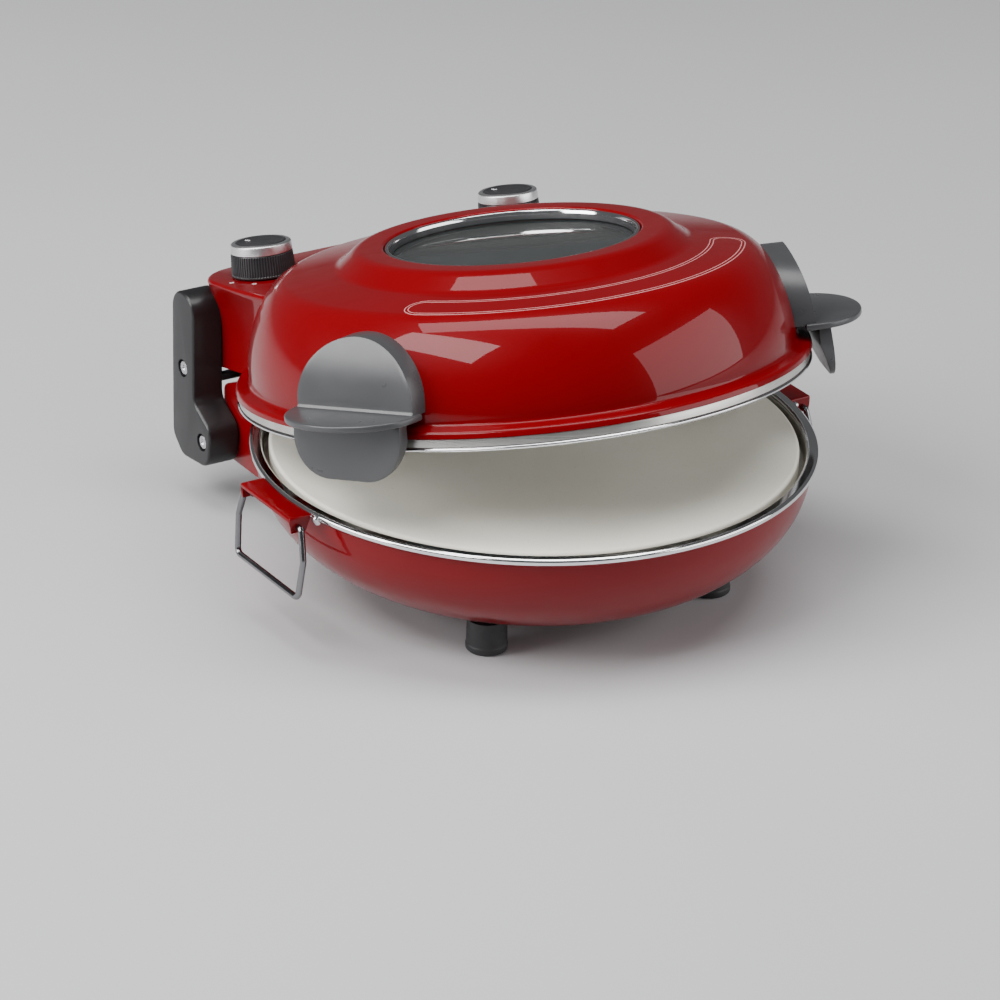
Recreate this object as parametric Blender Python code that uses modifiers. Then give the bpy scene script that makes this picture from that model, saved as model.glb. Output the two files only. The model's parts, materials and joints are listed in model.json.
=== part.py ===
"""Countertop pizza oven with a stone base and a hinged, domed lid.

Frame: metres, +Z up, front of the oven towards -Y.  The base stands on z = 0.
The lid is modelled in its own frame: origin at the centre of its rim plane,
+Z along the dome's axis.  That frame hangs on the hinge and is shown part open.
"""

import math

import bmesh
import bpy
from mathutils import Vector

# ---------------------------------------------------------------- driving sizes
CENTRE_Y = 0.0200           # middle of the oven's depth, measured from the pan's axis
LID_TILT = math.radians(11.7)
HINGE_Y = 0.1717
HINGE_Z = 0.0450
LID_CLOSED_Z = 0.0877       # height of the lid's rim plane when the lid is shut
GAP = 0.0003                # clearance left between pieces that touch
ROUND_STEPS = 40            # facets of every large turned piece

PAN_RADIUS = 0.1655
PAN_TOP_Z = 0.0815
PAN_DEPTH = 0.0750
SHEET = 0.0012
RIM_RADIUS = 0.1680
RING_RADIUS = 0.1690         # outside of the bright ring that hooks over the pan's lip
STONE_RADIUS = 0.1575
STONE_TOP_Z = 0.0865
STONE_THICKNESS = 0.0100

FOOT_RADIUS = 0.0125
FOOT_X = 0.078
FOOT_Y = 0.076

LIP_RADIUS = 0.1712
GLASS_RADIUS = 0.0728

HOUSING_HALF_WIDTH = 0.1097
HOUSING_REAR_Y = 0.1890
HOUSING_TOP_Z = 0.0575
LOBE_RADIUS = 0.0310
KNOB_X = 0.0878
KNOB_Y = 0.1503
KNOB_RADIUS = 0.0191
KNOB_RIDGES = 30

ARM_OUTER_X = 0.1310
ARM_INNER_X = 0.1100
ARM_SCREW_Y = 0.0237
ARM_SCREW_Z = 0.0405

HANDLE_ANGLE = math.radians(65.5)
HANDLE_HALF_WIDTH = 0.0402
LEDGE_REACH = 0.2037

BAIL_X = 0.1760
BAIL_Z = 0.0795
BAIL_WIRE_RADIUS = 0.0019
BAIL_SWING = math.radians(5)
BRACKET_FRONT_Y = -0.0260
BRACKET_REAR_Y = 0.0320

# ---------------------------------------------------------------- colours
FINISHES = {
    "red_paint": ((0.36, 0.002, 0.006), 0.10, 0.0),
    "chrome": ((0.80, 0.80, 0.81), 0.10, 1.0),
    "steel": ((0.62, 0.62, 0.63), 0.28, 1.0),
    "element_steel": ((0.16, 0.15, 0.15), 0.45, 1.0),
    "stone": ((0.86, 0.80, 0.68), 0.85, 0.0),
    "black_plastic": ((0.030, 0.030, 0.033), 0.38, 0.0),
    "grey_plastic": ((0.085, 0.087, 0.092), 0.42, 0.0),
    "rubber": ((0.030, 0.030, 0.032), 0.60, 0.0),
    "glass": ((0.55, 0.60, 0.60), 0.05, 0.0),
    "ceramic": ((0.85, 0.84, 0.80), 0.50, 0.0),
    "silver_band": ((0.72, 0.72, 0.73), 0.25, 1.0),
}


def clear_scene():
    for item in list(bpy.data.objects):
        bpy.data.objects.remove(item, do_unlink=True)


def make_collection(name):
    group = bpy.data.collections.new(name)
    bpy.context.scene.collection.children.link(group)
    return group


def make_material(name, finish):
    colour, roughness, metallic = FINISHES[finish]
    material = bpy.data.materials.new(name)
    material.use_nodes = True
    shader = material.node_tree.nodes["Principled BSDF"]
    shader.inputs["Base Color"].default_value = (*colour, 1.0)
    shader.inputs["Roughness"].default_value = roughness
    shader.inputs["Metallic"].default_value = metallic
    material.diffuse_color = (*colour, 1.0)
    return material


clear_scene()
PARTS = make_collection("pizza_oven")
CUTTERS = make_collection("cutters")


def make_empty(name, parent=None, location=(0, 0, 0), rotation=(0, 0, 0)):
    empty = bpy.data.objects.new(name, None)
    PARTS.objects.link(empty)
    empty.parent = parent
    empty.location = location
    empty.rotation_euler = rotation
    return empty


ORIGIN = make_empty("oven_origin", location=(0, -CENTRE_Y, 0))
HINGE = make_empty("hinge_axis", ORIGIN, (0, HINGE_Y, HINGE_Z), (-LID_TILT, 0, 0))
LID = make_empty("lid_frame", HINGE, (0, -HINGE_Y, LID_CLOSED_Z - HINGE_Z))
ARMS = make_empty("arm_frame", HINGE, rotation=(LID_TILT, 0, 0))


# ---------------------------------------------------------------- shape helpers
def add_part(name, mesh, parent, finish, smooth=True, location=(0, 0, 0), rotation=(0, 0, 0)):
    part = bpy.data.objects.new(name, mesh)
    PARTS.objects.link(part)
    part.parent = parent
    part.location = location
    part.rotation_euler = rotation
    mesh.materials.append(make_material(name, finish))
    if smooth:
        mesh.shade_smooth()
    return part


def add_cutter(name, mesh, parent, location=(0, 0, 0), rotation=(0, 0, 0)):
    cutter = bpy.data.objects.new(name, mesh)
    CUTTERS.objects.link(cutter)
    cutter.parent = parent
    cutter.location = location
    cutter.rotation_euler = rotation
    cutter.hide_render = True
    cutter.display_type = "WIRE"
    return cutter


def profile_mesh(name, points, closed):
    """A row of vertices in the XZ plane, joined by edges: the profile that Screw turns."""
    mesh = bpy.data.meshes.new(name)
    shape = bmesh.new()
    row = [shape.verts.new((radius, 0.0, height)) for radius, height in points]
    for first, second in zip(row, row[1:]):
        shape.edges.new((first, second))
    if closed:
        shape.edges.new((row[-1], row[0]))
    shape.to_mesh(mesh)
    shape.free()
    return mesh


def add_screw(item, steps):
    screw = item.modifiers.new("turn", "SCREW")
    screw.axis = "Z"
    screw.steps = steps
    screw.render_steps = steps
    screw.use_merge_vertices = True
    screw.merge_threshold = 0.00005


def turned(name, points, parent, finish, closed=False, steps=ROUND_STEPS, **place):
    """A turned piece.  An open profile starts and ends on the axis."""
    part = add_part(name, profile_mesh(name, points, closed), parent, finish, **place)
    add_screw(part, steps)
    return part


def turned_cutter(name, points, parent, steps=ROUND_STEPS, **place):
    cutter = add_cutter(name, profile_mesh(name, points, False), parent, **place)
    add_screw(cutter, steps)
    return cutter


def box_mesh(name, low, high):
    mesh = bpy.data.meshes.new(name)
    shape = bmesh.new()
    bmesh.ops.create_cube(shape, size=1.0)
    low = Vector(low)
    high = Vector(high)
    for vertex in shape.verts:
        for axis in range(3):
            vertex.co[axis] = low[axis] + (vertex.co[axis] + 0.5) * (high[axis] - low[axis])
    shape.to_mesh(mesh)
    shape.free()
    return mesh


def box_part(name, low, high, parent, finish):
    return add_part(name, box_mesh(name, low, high), parent, finish, smooth=False)


def box_cutter(name, low, high, parent):
    return add_cutter(name, box_mesh(name, low, high), parent)


def rod_mesh(name, radius, start, end, sides=16):
    """A closed cylinder along X from start to end, centred on y = z = 0."""
    mesh = bpy.data.meshes.new(name)
    shape = bmesh.new()
    bmesh.ops.create_cone(shape, cap_ends=True, segments=sides, radius1=radius, radius2=radius, depth=1.0)
    low, high = min(start, end), max(start, end)
    for vertex in shape.verts:
        across, up, along = vertex.co
        vertex.co = (low + (along + 0.5) * (high - low), across, up)
    shape.to_mesh(mesh)
    shape.free()
    return mesh


def outline_mesh(name, points, low, high, plane="XY"):
    """A closed outline filled and raised from low to high, square to its plane."""
    curve = bpy.data.curves.new(name, "CURVE")
    curve.dimensions = "2D"
    curve.fill_mode = "BOTH"
    curve.extrude = (high - low) / 2
    spline = curve.splines.new("POLY")
    spline.points.add(len(points) - 1)
    for point, (across, up) in zip(spline.points, points):
        point.co = (across, up, 0.0, 1.0)
    spline.use_cyclic_u = True
    sheet = bpy.data.objects.new(name + "_outline", curve)
    bpy.context.scene.collection.objects.link(sheet)
    graph = bpy.context.evaluated_depsgraph_get()
    mesh = bpy.data.meshes.new_from_object(sheet.evaluated_get(graph))
    bpy.data.objects.remove(sheet, do_unlink=True)
    middle = (high + low) / 2
    shape = bmesh.new()
    shape.from_mesh(mesh)
    bmesh.ops.remove_doubles(shape, verts=shape.verts, dist=0.000001)
    for vertex in shape.verts:
        across, up, deep = vertex.co
        if plane == "XY":
            vertex.co = (across, up, deep + middle)
        elif plane == "YZ":
            vertex.co = (deep + middle, across, up)
        else:
            vertex.co = (across, -deep + middle, up)
    bmesh.ops.recalc_face_normals(shape, faces=shape.faces)
    shape.to_mesh(mesh)
    shape.free()
    return mesh


def tube(name, points, radius, parent, finish, resolution=2):
    """A round wire or rod along a row of points."""
    curve = bpy.data.curves.new(name, "CURVE")
    curve.dimensions = "3D"
    curve.bevel_depth = radius
    curve.bevel_resolution = resolution
    curve.use_fill_caps = True
    spline = curve.splines.new("POLY")
    spline.points.add(len(points) - 1)
    for point, position in zip(spline.points, points):
        point.co = (*position, 1.0)
    wire = bpy.data.objects.new(name, curve)
    PARTS.objects.link(wire)
    wire.parent = parent
    curve.materials.append(make_material(name, finish))
    return wire


def combine(part, other, operation):
    step = part.modifiers.new(other.name, "BOOLEAN")
    step.object = other
    step.operation = operation
    step.solver = "EXACT"


def cut(part, *cutters):
    for cutter in cutters:
        combine(part, cutter, "DIFFERENCE")


def join(part, *additions):
    for addition in additions:
        combine(part, addition, "UNION")


def arc(centre, radius, start, end, count):
    """Points on a circle between two angles in degrees, both ends included."""
    points = []
    for step in range(count + 1):
        angle = math.radians(start + (end - start) * step / count)
        points.append((centre[0] + radius * math.cos(angle), centre[1] + radius * math.sin(angle)))
    return points


# ---------------------------------------------------------------- shared surfaces
def pan_profile(inset, count=9):
    """The bowl's curve, from the top of its wall to its bottom: a superellipse."""
    points = []
    for step in range(count + 1):
        angle = math.pi / 2 * step / count
        radius = (PAN_RADIUS - inset) * math.cos(angle) ** (2 / 3)
        height = PAN_TOP_Z - (PAN_DEPTH - inset) * math.sin(angle) ** (2 / 2.1)
        points.append((radius if step < count else 0.0, height))
    return points


PAN_LIP = [(0.1670, 0.0852), (0.1677, 0.0850), (RIM_RADIUS, 0.0845), (RIM_RADIUS, 0.0838), (0.1672, 0.0829)]
PAN_LEDGE = [(0.1643, 0.0829), (0.1662, 0.0838), (0.1666, 0.0845)]

LID_OUTSIDE = [
    (0.0764, 0.0845), (0.0782, 0.0858), (0.0900, 0.0860), (0.0965, 0.0840), (0.1015, 0.0798),
    (0.1055, 0.0764), (0.1110, 0.0750), (0.1340, 0.0718), (0.1426, 0.0679), (0.1497, 0.0600),
    (0.1565, 0.0480), (0.1599, 0.0368), (0.1621, 0.0263), (0.1626, 0.0170), (0.1640, 0.0141),
    (0.1680, 0.0124), (0.1706, 0.0104), (LIP_RADIUS, 0.0078),
]
LID_INSIDE = [
    (0.1700, 0.0078), (0.1695, 0.0095), (0.1632, 0.0129), (0.1614, 0.0165), (0.1587, 0.0364),
    (0.1553, 0.0475), (0.1486, 0.0594), (0.1418, 0.0669), (0.1336, 0.0706), (0.1106, 0.0738),
    (0.1047, 0.0755), (0.0959, 0.0829), (0.0898, 0.0848), (0.0764, 0.0833),
]


def pan_cutter(name, parent):
    """The pan's outside, grown by the clearance and closed over the top."""
    wall = [(radius + GAP if radius else 0.0, height - GAP) for radius, height in pan_profile(0.0)]
    top = [(0.0, 0.10), (RING_RADIUS + GAP, 0.10), (RING_RADIUS + GAP, 0.0834), (0.1672 + GAP, 0.0825)]
    return turned_cutter(name, top + wall, parent)


def dome_cutter(name, parent):
    """The lid's outside, grown by the clearance and closed above and below."""
    wall = [(radius + GAP, height + GAP) for radius, height in LID_OUTSIDE[:-1]]
    bottom = [(LIP_RADIUS + GAP, 0.0080), (LIP_RADIUS + GAP, -0.0100), (0.0, -0.0100)]
    return turned_cutter(name, [(0.0, 0.0848)] + wall + bottom, parent)


# ---------------------------------------------------------------- base
def build_pan():
    inner = list(reversed(pan_profile(SHEET)))
    turned("base_pan", inner + PAN_LEDGE + PAN_LIP + pan_profile(0.0), ORIGIN, "red_paint")


def element_path(radius, height, leg_end, half_gap, count=30):
    """An open ring whose two ends turn along Z to the terminals."""
    start = math.degrees(math.asin(half_gap / radius))
    ring = arc((0, 0), radius, 90 + start, 450 - start, count)
    side = math.copysign(1.0, leg_end - height)
    path = [(-half_gap, ring[0][1], leg_end), (-half_gap, ring[0][1], height + side * 0.006)]
    path += [(x, y, height) for x, y in ring[1:-1]]
    path += [(half_gap, ring[0][1], height + side * 0.006), (half_gap, ring[0][1], leg_end)]
    return path


LOWER_RING_RADIUS = 0.108
LOWER_RING_Z = 0.0670
UPPER_RING_RADIUS = 0.118
UPPER_RING_Z = 0.0520
ELEMENT_RADIUS = 0.0033
TERMINAL_HALF_GAP = 0.018


def terminal_holes(prefix, ring_radius, low, high, parent):
    depth = math.sqrt(ring_radius ** 2 - TERMINAL_HALF_GAP ** 2)
    holes = []
    for side, x in (("left", -TERMINAL_HALF_GAP), ("right", TERMINAL_HALF_GAP)):
        outline = arc((x, depth), ELEMENT_RADIUS + 0.0012, 0, 337.5, 15)
        mesh = outline_mesh(prefix + side, outline, low, high)
        holes.append(add_cutter(f"{prefix}_{side}", mesh, parent))
    return holes


def build_tray():
    ledge = STONE_TOP_Z - STONE_THICKNESS - GAP
    top = [
        (0.0, 0.0590), (0.1300, 0.0590), (0.1360, 0.0615), (0.1490, ledge), (0.1615, ledge),
        (0.1615, 0.0848), (0.1662, 0.0848),
    ]
    under = [
        (0.1662, 0.0841), (0.1625, 0.0841), (0.1625, ledge - 0.0010), (0.1494, ledge - 0.0010),
        (0.1366, 0.0605), (0.1302, 0.0580), (0.0, 0.0580),
    ]
    tray = turned("base_reflector_tray", top + under, ORIGIN, "steel")
    cut(tray, *terminal_holes("tray_hole", LOWER_RING_RADIUS, 0.050, 0.062, ORIGIN))


def build_base_rings():
    inner = RING_RADIUS - 0.0006
    ring = [
        (0.1617, 0.0858), (0.1625, 0.0868), (0.1642, 0.0873), (0.1668, 0.0873), (0.1684, 0.0867),
        (RING_RADIUS, 0.0857), (RING_RADIUS, 0.0838), (inner, 0.0838), (inner, 0.0852),
        (0.1679, 0.0856), (0.1664, 0.0855), (0.1661, 0.0851), (0.1622, 0.0851),
    ]
    turned("base_rim_ring", ring, ORIGIN, "chrome", closed=True)
    bottom = STONE_TOP_Z - STONE_THICKNESS
    edge = 0.0012
    stone = [
        (0.0, STONE_TOP_Z), (STONE_RADIUS - edge, STONE_TOP_Z), (STONE_RADIUS, STONE_TOP_Z - edge),
        (STONE_RADIUS, bottom + edge), (STONE_RADIUS - edge, bottom), (0.0, bottom),
    ]
    turned("pizza_stone", stone, ORIGIN, "stone")


def build_lower_element():
    path = element_path(LOWER_RING_RADIUS, LOWER_RING_Z, 0.0480, TERMINAL_HALF_GAP)
    tube("lower_heating_element", path, ELEMENT_RADIUS, ORIGIN, "element_steel")
    for number, angle in enumerate((0, 180, 270), 1):
        holder = make_empty(f"lower_clip_place_{number}", ORIGIN, rotation=(0, 0, math.radians(angle)))
        low = (LOWER_RING_RADIUS - 0.005, -0.004, 0.0590 + GAP)
        high = (LOWER_RING_RADIUS + 0.005, 0.004, LOWER_RING_Z - ELEMENT_RADIUS - GAP)
        box_part(f"lower_element_rest_{number}", low, high, holder, "steel")


def build_terminal_block():
    block = box_part("terminal_block", (-0.022, 0.020, 0.0095), (0.022, 0.040, 0.0235), ORIGIN, "ceramic")
    bevel = block.modifiers.new("edges", "BEVEL")
    bevel.width = 0.0012
    bevel.segments = 1


def build_feet():
    bowl = pan_cutter("foot_seat", ORIGIN)
    profile = [(0.0, 0.030), (FOOT_RADIUS - 0.0005, 0.030), (FOOT_RADIUS, 0.004), (FOOT_RADIUS, 0.0012)]
    profile += [(FOOT_RADIUS - 0.0012, 0.0), (0.0, 0.0)]
    for depth, y in (("front", -FOOT_Y), ("rear", FOOT_Y)):
        for side, x in (("left", -FOOT_X), ("right", FOOT_X)):
            foot = turned(f"foot_{depth}_{side}", profile, ORIGIN, "rubber", steps=20, location=(x, y, 0))
            cut(foot, bowl)


def bail_half():
    """One leg of the wire bail, from its pin end to the bottom run: (y, z) in the bracket's frame."""
    return [
        (-0.0205, BAIL_Z), (-0.0275, BAIL_Z), (-0.0295, 0.0789), (-0.0305, 0.0770), (-0.0328, 0.0690),
        (-0.0345, 0.0640), (-0.0348, 0.0605), (-0.0331, 0.0430), (-0.0321, 0.0396), (-0.0291, 0.0378),
    ]


def build_bail(side, sign):
    middle = (BRACKET_FRONT_Y + BRACKET_REAR_Y) / 2
    half = bail_half()
    path = [(0.0, y, z - BAIL_Z) for y, z in half]
    path += [(0.0, 2 * middle - y, z - BAIL_Z) for y, z in reversed(half)]
    turn = (0, -sign * BAIL_SWING, 0)
    pivot = make_empty(f"bail_axis_{side}", ORIGIN, (sign * BAIL_X, 0, BAIL_Z), turn)
    tube(f"bail_wire_{side}", path, BAIL_WIRE_RADIUS, pivot, "chrome")


def build_bail_bracket(side, sign):
    """A pressed plate on the rim: a flat top, a shallow outer lip and two end tabs that hold the bail."""
    outer = 0.1818
    sheet = 0.0014
    top = 0.0860
    front, rear = BRACKET_FRONT_Y, BRACKET_REAR_Y
    low, high = sorted((sign * 0.1500, sign * outer))
    plate = box_part(
        f"bail_bracket_{side}", (low, front, top - sheet), (high, rear, top), ORIGIN, "red_paint",
    )
    low, high = sorted((sign * (outer - sheet), sign * outer))
    join(plate, box_cutter(f"bail_lip_{side}", (low, front, top - 0.0024), (high, rear, top), ORIGIN))
    low, high = sorted((sign * 0.1700, sign * 0.1804))
    for end, first in (("front", front), ("rear", rear - sheet)):
        tab = (low, first, 0.0760), (high, first + sheet, top - 0.0004)
        join(plate, box_cutter(f"bail_tab_{end}_{side}", *tab, ORIGIN))
    outline = arc((sign * BAIL_X, BAIL_Z), BAIL_WIRE_RADIUS + 0.0004, 0, 337.5, 15)
    bore = outline_mesh("bail_bore", outline, -0.06, 0.06, plane="XZ")
    cut(plate, add_cutter(f"bail_bore_{side}", bore, ORIGIN), pan_cutter(f"bail_seat_{side}", ORIGIN))


REAR_BRACKET_HALF_WIDTH = 0.1092
REAR_BRACKET_Y = 0.1840
REAR_BRACKET_TOP_Z = 0.0862
REAR_BRACKET_SLOPE_Y = 0.1580
REAR_BRACKET_SLOPE_Z = 0.0750
REAR_BRACKET_LOW_Z = 0.0280
REAR_BRACKET_SHEET = 0.0015
GLAND_Z = 0.0400
PIN_RADIUS = 0.0030


def rear_bracket_side(wall):
    """The cover's side view, (y, z), moved inwards by the sheet; its rear top edge slopes down."""
    rear, top = REAR_BRACKET_Y - wall, REAR_BRACKET_TOP_Z - wall
    low = REAR_BRACKET_LOW_Z - (0.01 if wall else 0.0)
    front = 0.080 - (0.01 if wall else 0.0)
    slope = (REAR_BRACKET_SLOPE_Y - wall * 0.21, top)
    return [(front, low), (rear, low), (rear, REAR_BRACKET_SLOPE_Z - wall * 0.66), slope, (front, top)]


def build_rear_bracket():
    """A folded cover behind the pan that carries both hinge pins and the cable gland."""
    half = REAR_BRACKET_HALF_WIDTH
    wall = REAR_BRACKET_SHEET
    name = "base_rear_bracket"
    outside = outline_mesh(name, rear_bracket_side(0.0), -half, half, plane="YZ")
    bracket = add_part(name, outside, ORIGIN, "red_paint", False)
    space = outline_mesh("bracket_inside", rear_bracket_side(wall), wall - half, half - wall, plane="YZ")
    pins = rod_mesh("pin_bores", PIN_RADIUS + GAP, -0.12, 0.12)
    pin_bores = add_cutter("pin_bores", pins, ORIGIN, location=(0, HINGE_Y, HINGE_Z))
    hole = outline_mesh("gland_hole", arc((0, GLAND_Z), 0.0050, 0, 337.5, 15), 0.170, 0.190, plane="XZ")
    cut(bracket, add_cutter("rear_bracket_inside", space, ORIGIN), pin_bores)
    cut(bracket, add_cutter("gland_hole", hole, ORIGIN), pan_cutter("bracket_seat", ORIGIN))


def build_cable_gland():
    """A bush in the rear wall for the mains lead, with its bore left open."""
    profile = [
        (0.0026, -0.0045), (0.0026, 0.0140), (0.0038, 0.0140), (0.0050, 0.0040), (0.0070, 0.0036),
        (0.0070, GAP), (0.0046, GAP), (0.0046, -0.0045),
    ]
    turned(
        "cable_gland", profile, ORIGIN, "rubber", closed=True, steps=16,
        location=(0, REAR_BRACKET_Y, GLAND_Z), rotation=(-math.pi / 2, 0, 0),
    )


PIN_HEAD_RADIUS = 0.0048
PIN_HEAD_DEPTH = 0.0025
RECESS_DEPTH = 0.0035


def screw_profile(shank_radius, shank_length):
    """A button-head screw along -Z, its head's outer face at z = 0 and a hex socket-sized dimple."""
    head = PIN_HEAD_RADIUS
    return [
        (0.0, -0.0010), (0.0017, -0.0010), (0.0019, 0.0), (head - 0.0008, 0.0), (head, -0.0008),
        (head, -PIN_HEAD_DEPTH), (shank_radius, -PIN_HEAD_DEPTH), (shank_radius, -shank_length),
        (0.0, -shank_length),
    ]


def add_screw_part(name, profile, parent, sign, position):
    turned(
        name, profile, parent, "steel", steps=12,
        location=(sign * (ARM_OUTER_X - RECESS_DEPTH + PIN_HEAD_DEPTH + GAP), *position),
        rotation=(0, sign * math.pi / 2, 0),
    )


def build_hinge_pins():
    profile = screw_profile(PIN_RADIUS, 0.0320)
    for side, sign in (("left", -1), ("right", 1)):
        add_screw_part(f"hinge_pin_{side}", profile, ORIGIN, sign, (HINGE_Y, HINGE_Z))


# ---------------------------------------------------------------- lid
def build_lid_shell():
    turned("lid_shell", LID_OUTSIDE + LID_INSIDE, LID, "red_paint", closed=True)


def build_lid_reflector():
    upper = [
        (0.0678, 0.0742), (0.0940, 0.0742), (0.1005, 0.0690), (0.1045, 0.0624), (0.1330, 0.0622),
        (0.1420, 0.0588), (0.1520, 0.0440), (0.1565, 0.0300), (0.1585, 0.0150), (0.1600, 0.0074),
        (0.1697, 0.0074), (0.1697, 0.0026),
    ]
    lower = [
        (0.1590, 0.0026), (0.1577, 0.0148), (0.1557, 0.0298), (0.1512, 0.0436), (0.1414, 0.0580),
        (0.1326, 0.0613), (0.1039, 0.0615), (0.0998, 0.0684), (0.0937, 0.0734), (0.0678, 0.0734),
    ]
    reflector = turned("lid_reflector", upper + lower, LID, "steel", closed=True)
    cut(reflector, *terminal_holes("reflector_hole", UPPER_RING_RADIUS, 0.055, 0.068, LID))


def build_lid_rings():
    rim = [(0.1640, 0.0020), (0.1650, 0.0023), (0.1700, 0.0023), (0.1707, 0.0012), (0.1698, 0.0)]
    rim += [(0.1650, 0.0), (0.1640, 0.0008)]
    turned("lid_rim_ring", rim, LID, "chrome", closed=True)
    bezel = [
        (0.0698, 0.0810), (0.0708, 0.0826), (0.0725, 0.0830), (0.0731, 0.0846), (0.0743, 0.0852),
        (0.0756, 0.0846), (0.0759, 0.0832), (0.0759, 0.0800), (0.0698, 0.0800),
    ]
    turned("window_bezel", bezel, LID, "chrome", closed=True)
    glass = [
        (0.0, 0.0797), (GLASS_RADIUS - 0.0008, 0.0797), (GLASS_RADIUS, 0.0789), (GLASS_RADIUS, 0.0775),
        (GLASS_RADIUS - 0.0008, 0.0767), (0.0, 0.0767),
    ]
    turned("window_glass", glass, LID, "glass")
    gasket = [(0.0678, 0.0764), (0.0748, 0.0764), (0.0748, 0.0745), (0.0678, 0.0745)]
    turned("window_gasket", gasket, LID, "rubber", closed=True)


def build_upper_element():
    path = element_path(UPPER_RING_RADIUS, UPPER_RING_Z, 0.0690, TERMINAL_HALF_GAP)
    tube("upper_heating_element", path, ELEMENT_RADIUS, LID, "element_steel")
    for number, angle in enumerate((0, 180, 270), 1):
        holder = make_empty(f"upper_hanger_place_{number}", LID, rotation=(0, 0, math.radians(angle)))
        low = (UPPER_RING_RADIUS - 0.005, -0.004, UPPER_RING_Z + ELEMENT_RADIUS + GAP)
        high = (UPPER_RING_RADIUS + 0.005, 0.004, 0.0613 - GAP)
        box_part(f"upper_element_hanger_{number}", low, high, holder, "steel")


def housing_outline(half_width, rear_y, front_y, corner):
    """The housing's plan: a box with rounded rear corners."""
    rear = arc((half_width - corner, rear_y - corner), corner, 0, 90, 6)
    rear += [(-x, y) for x, y in reversed(rear)]
    return [(half_width, front_y)] + rear + [(-half_width, front_y)]


def lobed_outline():
    """The top plate's plan: a lobe round each knob, joined by a straight rear edge and swept sides."""
    centre = (KNOB_X, HOUSING_REAR_Y - LOBE_RADIUS)
    half = arc(centre, LOBE_RADIUS, -10, 90, 14)
    side = [(0.1178, 0.0900), (0.1193, 0.1100), (0.1200, 0.1330)] + half
    return side + [(-x, y) for x, y in reversed(side)]


def build_rear_housing():
    plan = housing_outline(HOUSING_HALF_WIDTH, HOUSING_REAR_Y - 0.004, 0.088, 0.008)
    box = outline_mesh("rear_housing", plan, 0.0, 0.0540)
    housing = add_part("rear_housing", box, LID, "red_paint", False)
    top_plate = outline_mesh("housing_top", lobed_outline(), 0.0505, HOUSING_TOP_Z)
    join(housing, add_cutter("housing_top", top_plate, LID))
    wall = 0.0020
    plan = housing_outline(HOUSING_HALF_WIDTH - wall, HOUSING_REAR_Y - 0.004 - wall, 0.060, 0.006)
    cavity = add_cutter("housing_cavity", outline_mesh("housing_cavity", plan, -0.01, 0.0550), LID)
    bores = []
    for side, sign in (("left", -1), ("right", 1)):
        circle = arc((sign * KNOB_X, KNOB_Y), 0.0037, 0, 337.5, 15)
        hole = outline_mesh("spindle_hole", circle, 0.050, 0.060)
        bores.append(add_cutter(f"spindle_hole_{side}", hole, LID))
    screws = add_cutter("housing_screw_holes", rod_mesh("housing_screw_holes", 0.0023, -0.12, 0.12), ARMS)
    screws.location = (0, ARM_SCREW_Y, ARM_SCREW_Z)
    cut(housing, screws, *bores, cavity, dome_cutter("housing_seat", LID))


def build_housing_cover():
    plan = housing_outline(HOUSING_HALF_WIDTH - 0.0024, HOUSING_REAR_Y - 0.0064, 0.088, 0.0056)
    sheet = outline_mesh("housing_cover", plan, 0.0003, 0.0018)
    cover = add_part("housing_bottom_cover", sheet, LID, "steel", False)
    cut(cover, dome_cutter("cover_seat", LID))


def build_control(name, sign):
    """One control: its body under the top plate, and a knob on a spindle that turn together."""
    body = [(0.0, 0.0545), (0.0095, 0.0545), (0.0095, 0.0300), (0.0, 0.0300)]
    turned(f"{name}_body", body, LID, "black_plastic", steps=16, location=(sign * KNOB_X, KNOB_Y, 0))
    axis = make_empty(f"{name}_axis", LID, (sign * KNOB_X, KNOB_Y, HOUSING_TOP_Z))
    spindle = [(0.0, 0.0122), (0.0030, 0.0122), (0.0030, -0.0026), (0.0, -0.0026)]
    turned(f"{name}_spindle", spindle, axis, "steel", steps=12)
    build_knob(f"{name}_knob", axis)
    band = [
        (0.0156, 0.0208), (0.0176, 0.0208), (0.0183, 0.0200), (KNOB_RADIUS - 0.0002, 0.0150),
        (0.0156, 0.0150),
    ]
    turned(f"{name}_knob_band", band, axis, "silver_band", closed=True, steps=24)
    cap = [(0.0, 0.0213), (0.0145, 0.0213), (0.0153, 0.0206), (0.0153, 0.0150), (0.0, 0.0150)]
    turned(f"{name}_knob_cap", cap, axis, "black_plastic", steps=24)


def build_knob(name, axis):
    """A ridged skirt with a blind bore for the spindle."""
    low = 0.0008
    high = 0.0147
    ridge = 0.0005
    plan = []
    for step in range(KNOB_RIDGES * 2):
        angle = math.pi * step / KNOB_RIDGES
        radius = KNOB_RADIUS - (ridge if step % 2 else 0.0)
        plan.append((radius * math.cos(angle), radius * math.sin(angle)))
    knob = add_part(name, outline_mesh(name, plan, low, high), axis, "black_plastic", False)
    bore = outline_mesh(name + "_bore", arc((0, 0), 0.0033, 0, 337.5, 15), -0.002, 0.0125)
    cut(knob, add_cutter(name + "_bore", bore, axis))


# ---------------------------------------------------------------- hinge arms
def arm_outline():
    """The arm's side view about the hinge pin: (y, z)."""
    front = 0.0107
    rear = 0.0371
    half = (rear - front) / 2
    top = arc((front + half, 0.0763), half, 0, 180, 12)
    lobe = arc((0.0040, 0.0), 0.0125, 115, 262, 10)
    foot = [(0.0154, -0.0176), (0.0215, -0.0165), (0.0345, -0.0105), (0.0366, -0.0060)]
    return top + [(front, 0.0230), (0.0078, 0.0180)] + lobe + foot + [(rear, 0.0)]


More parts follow.
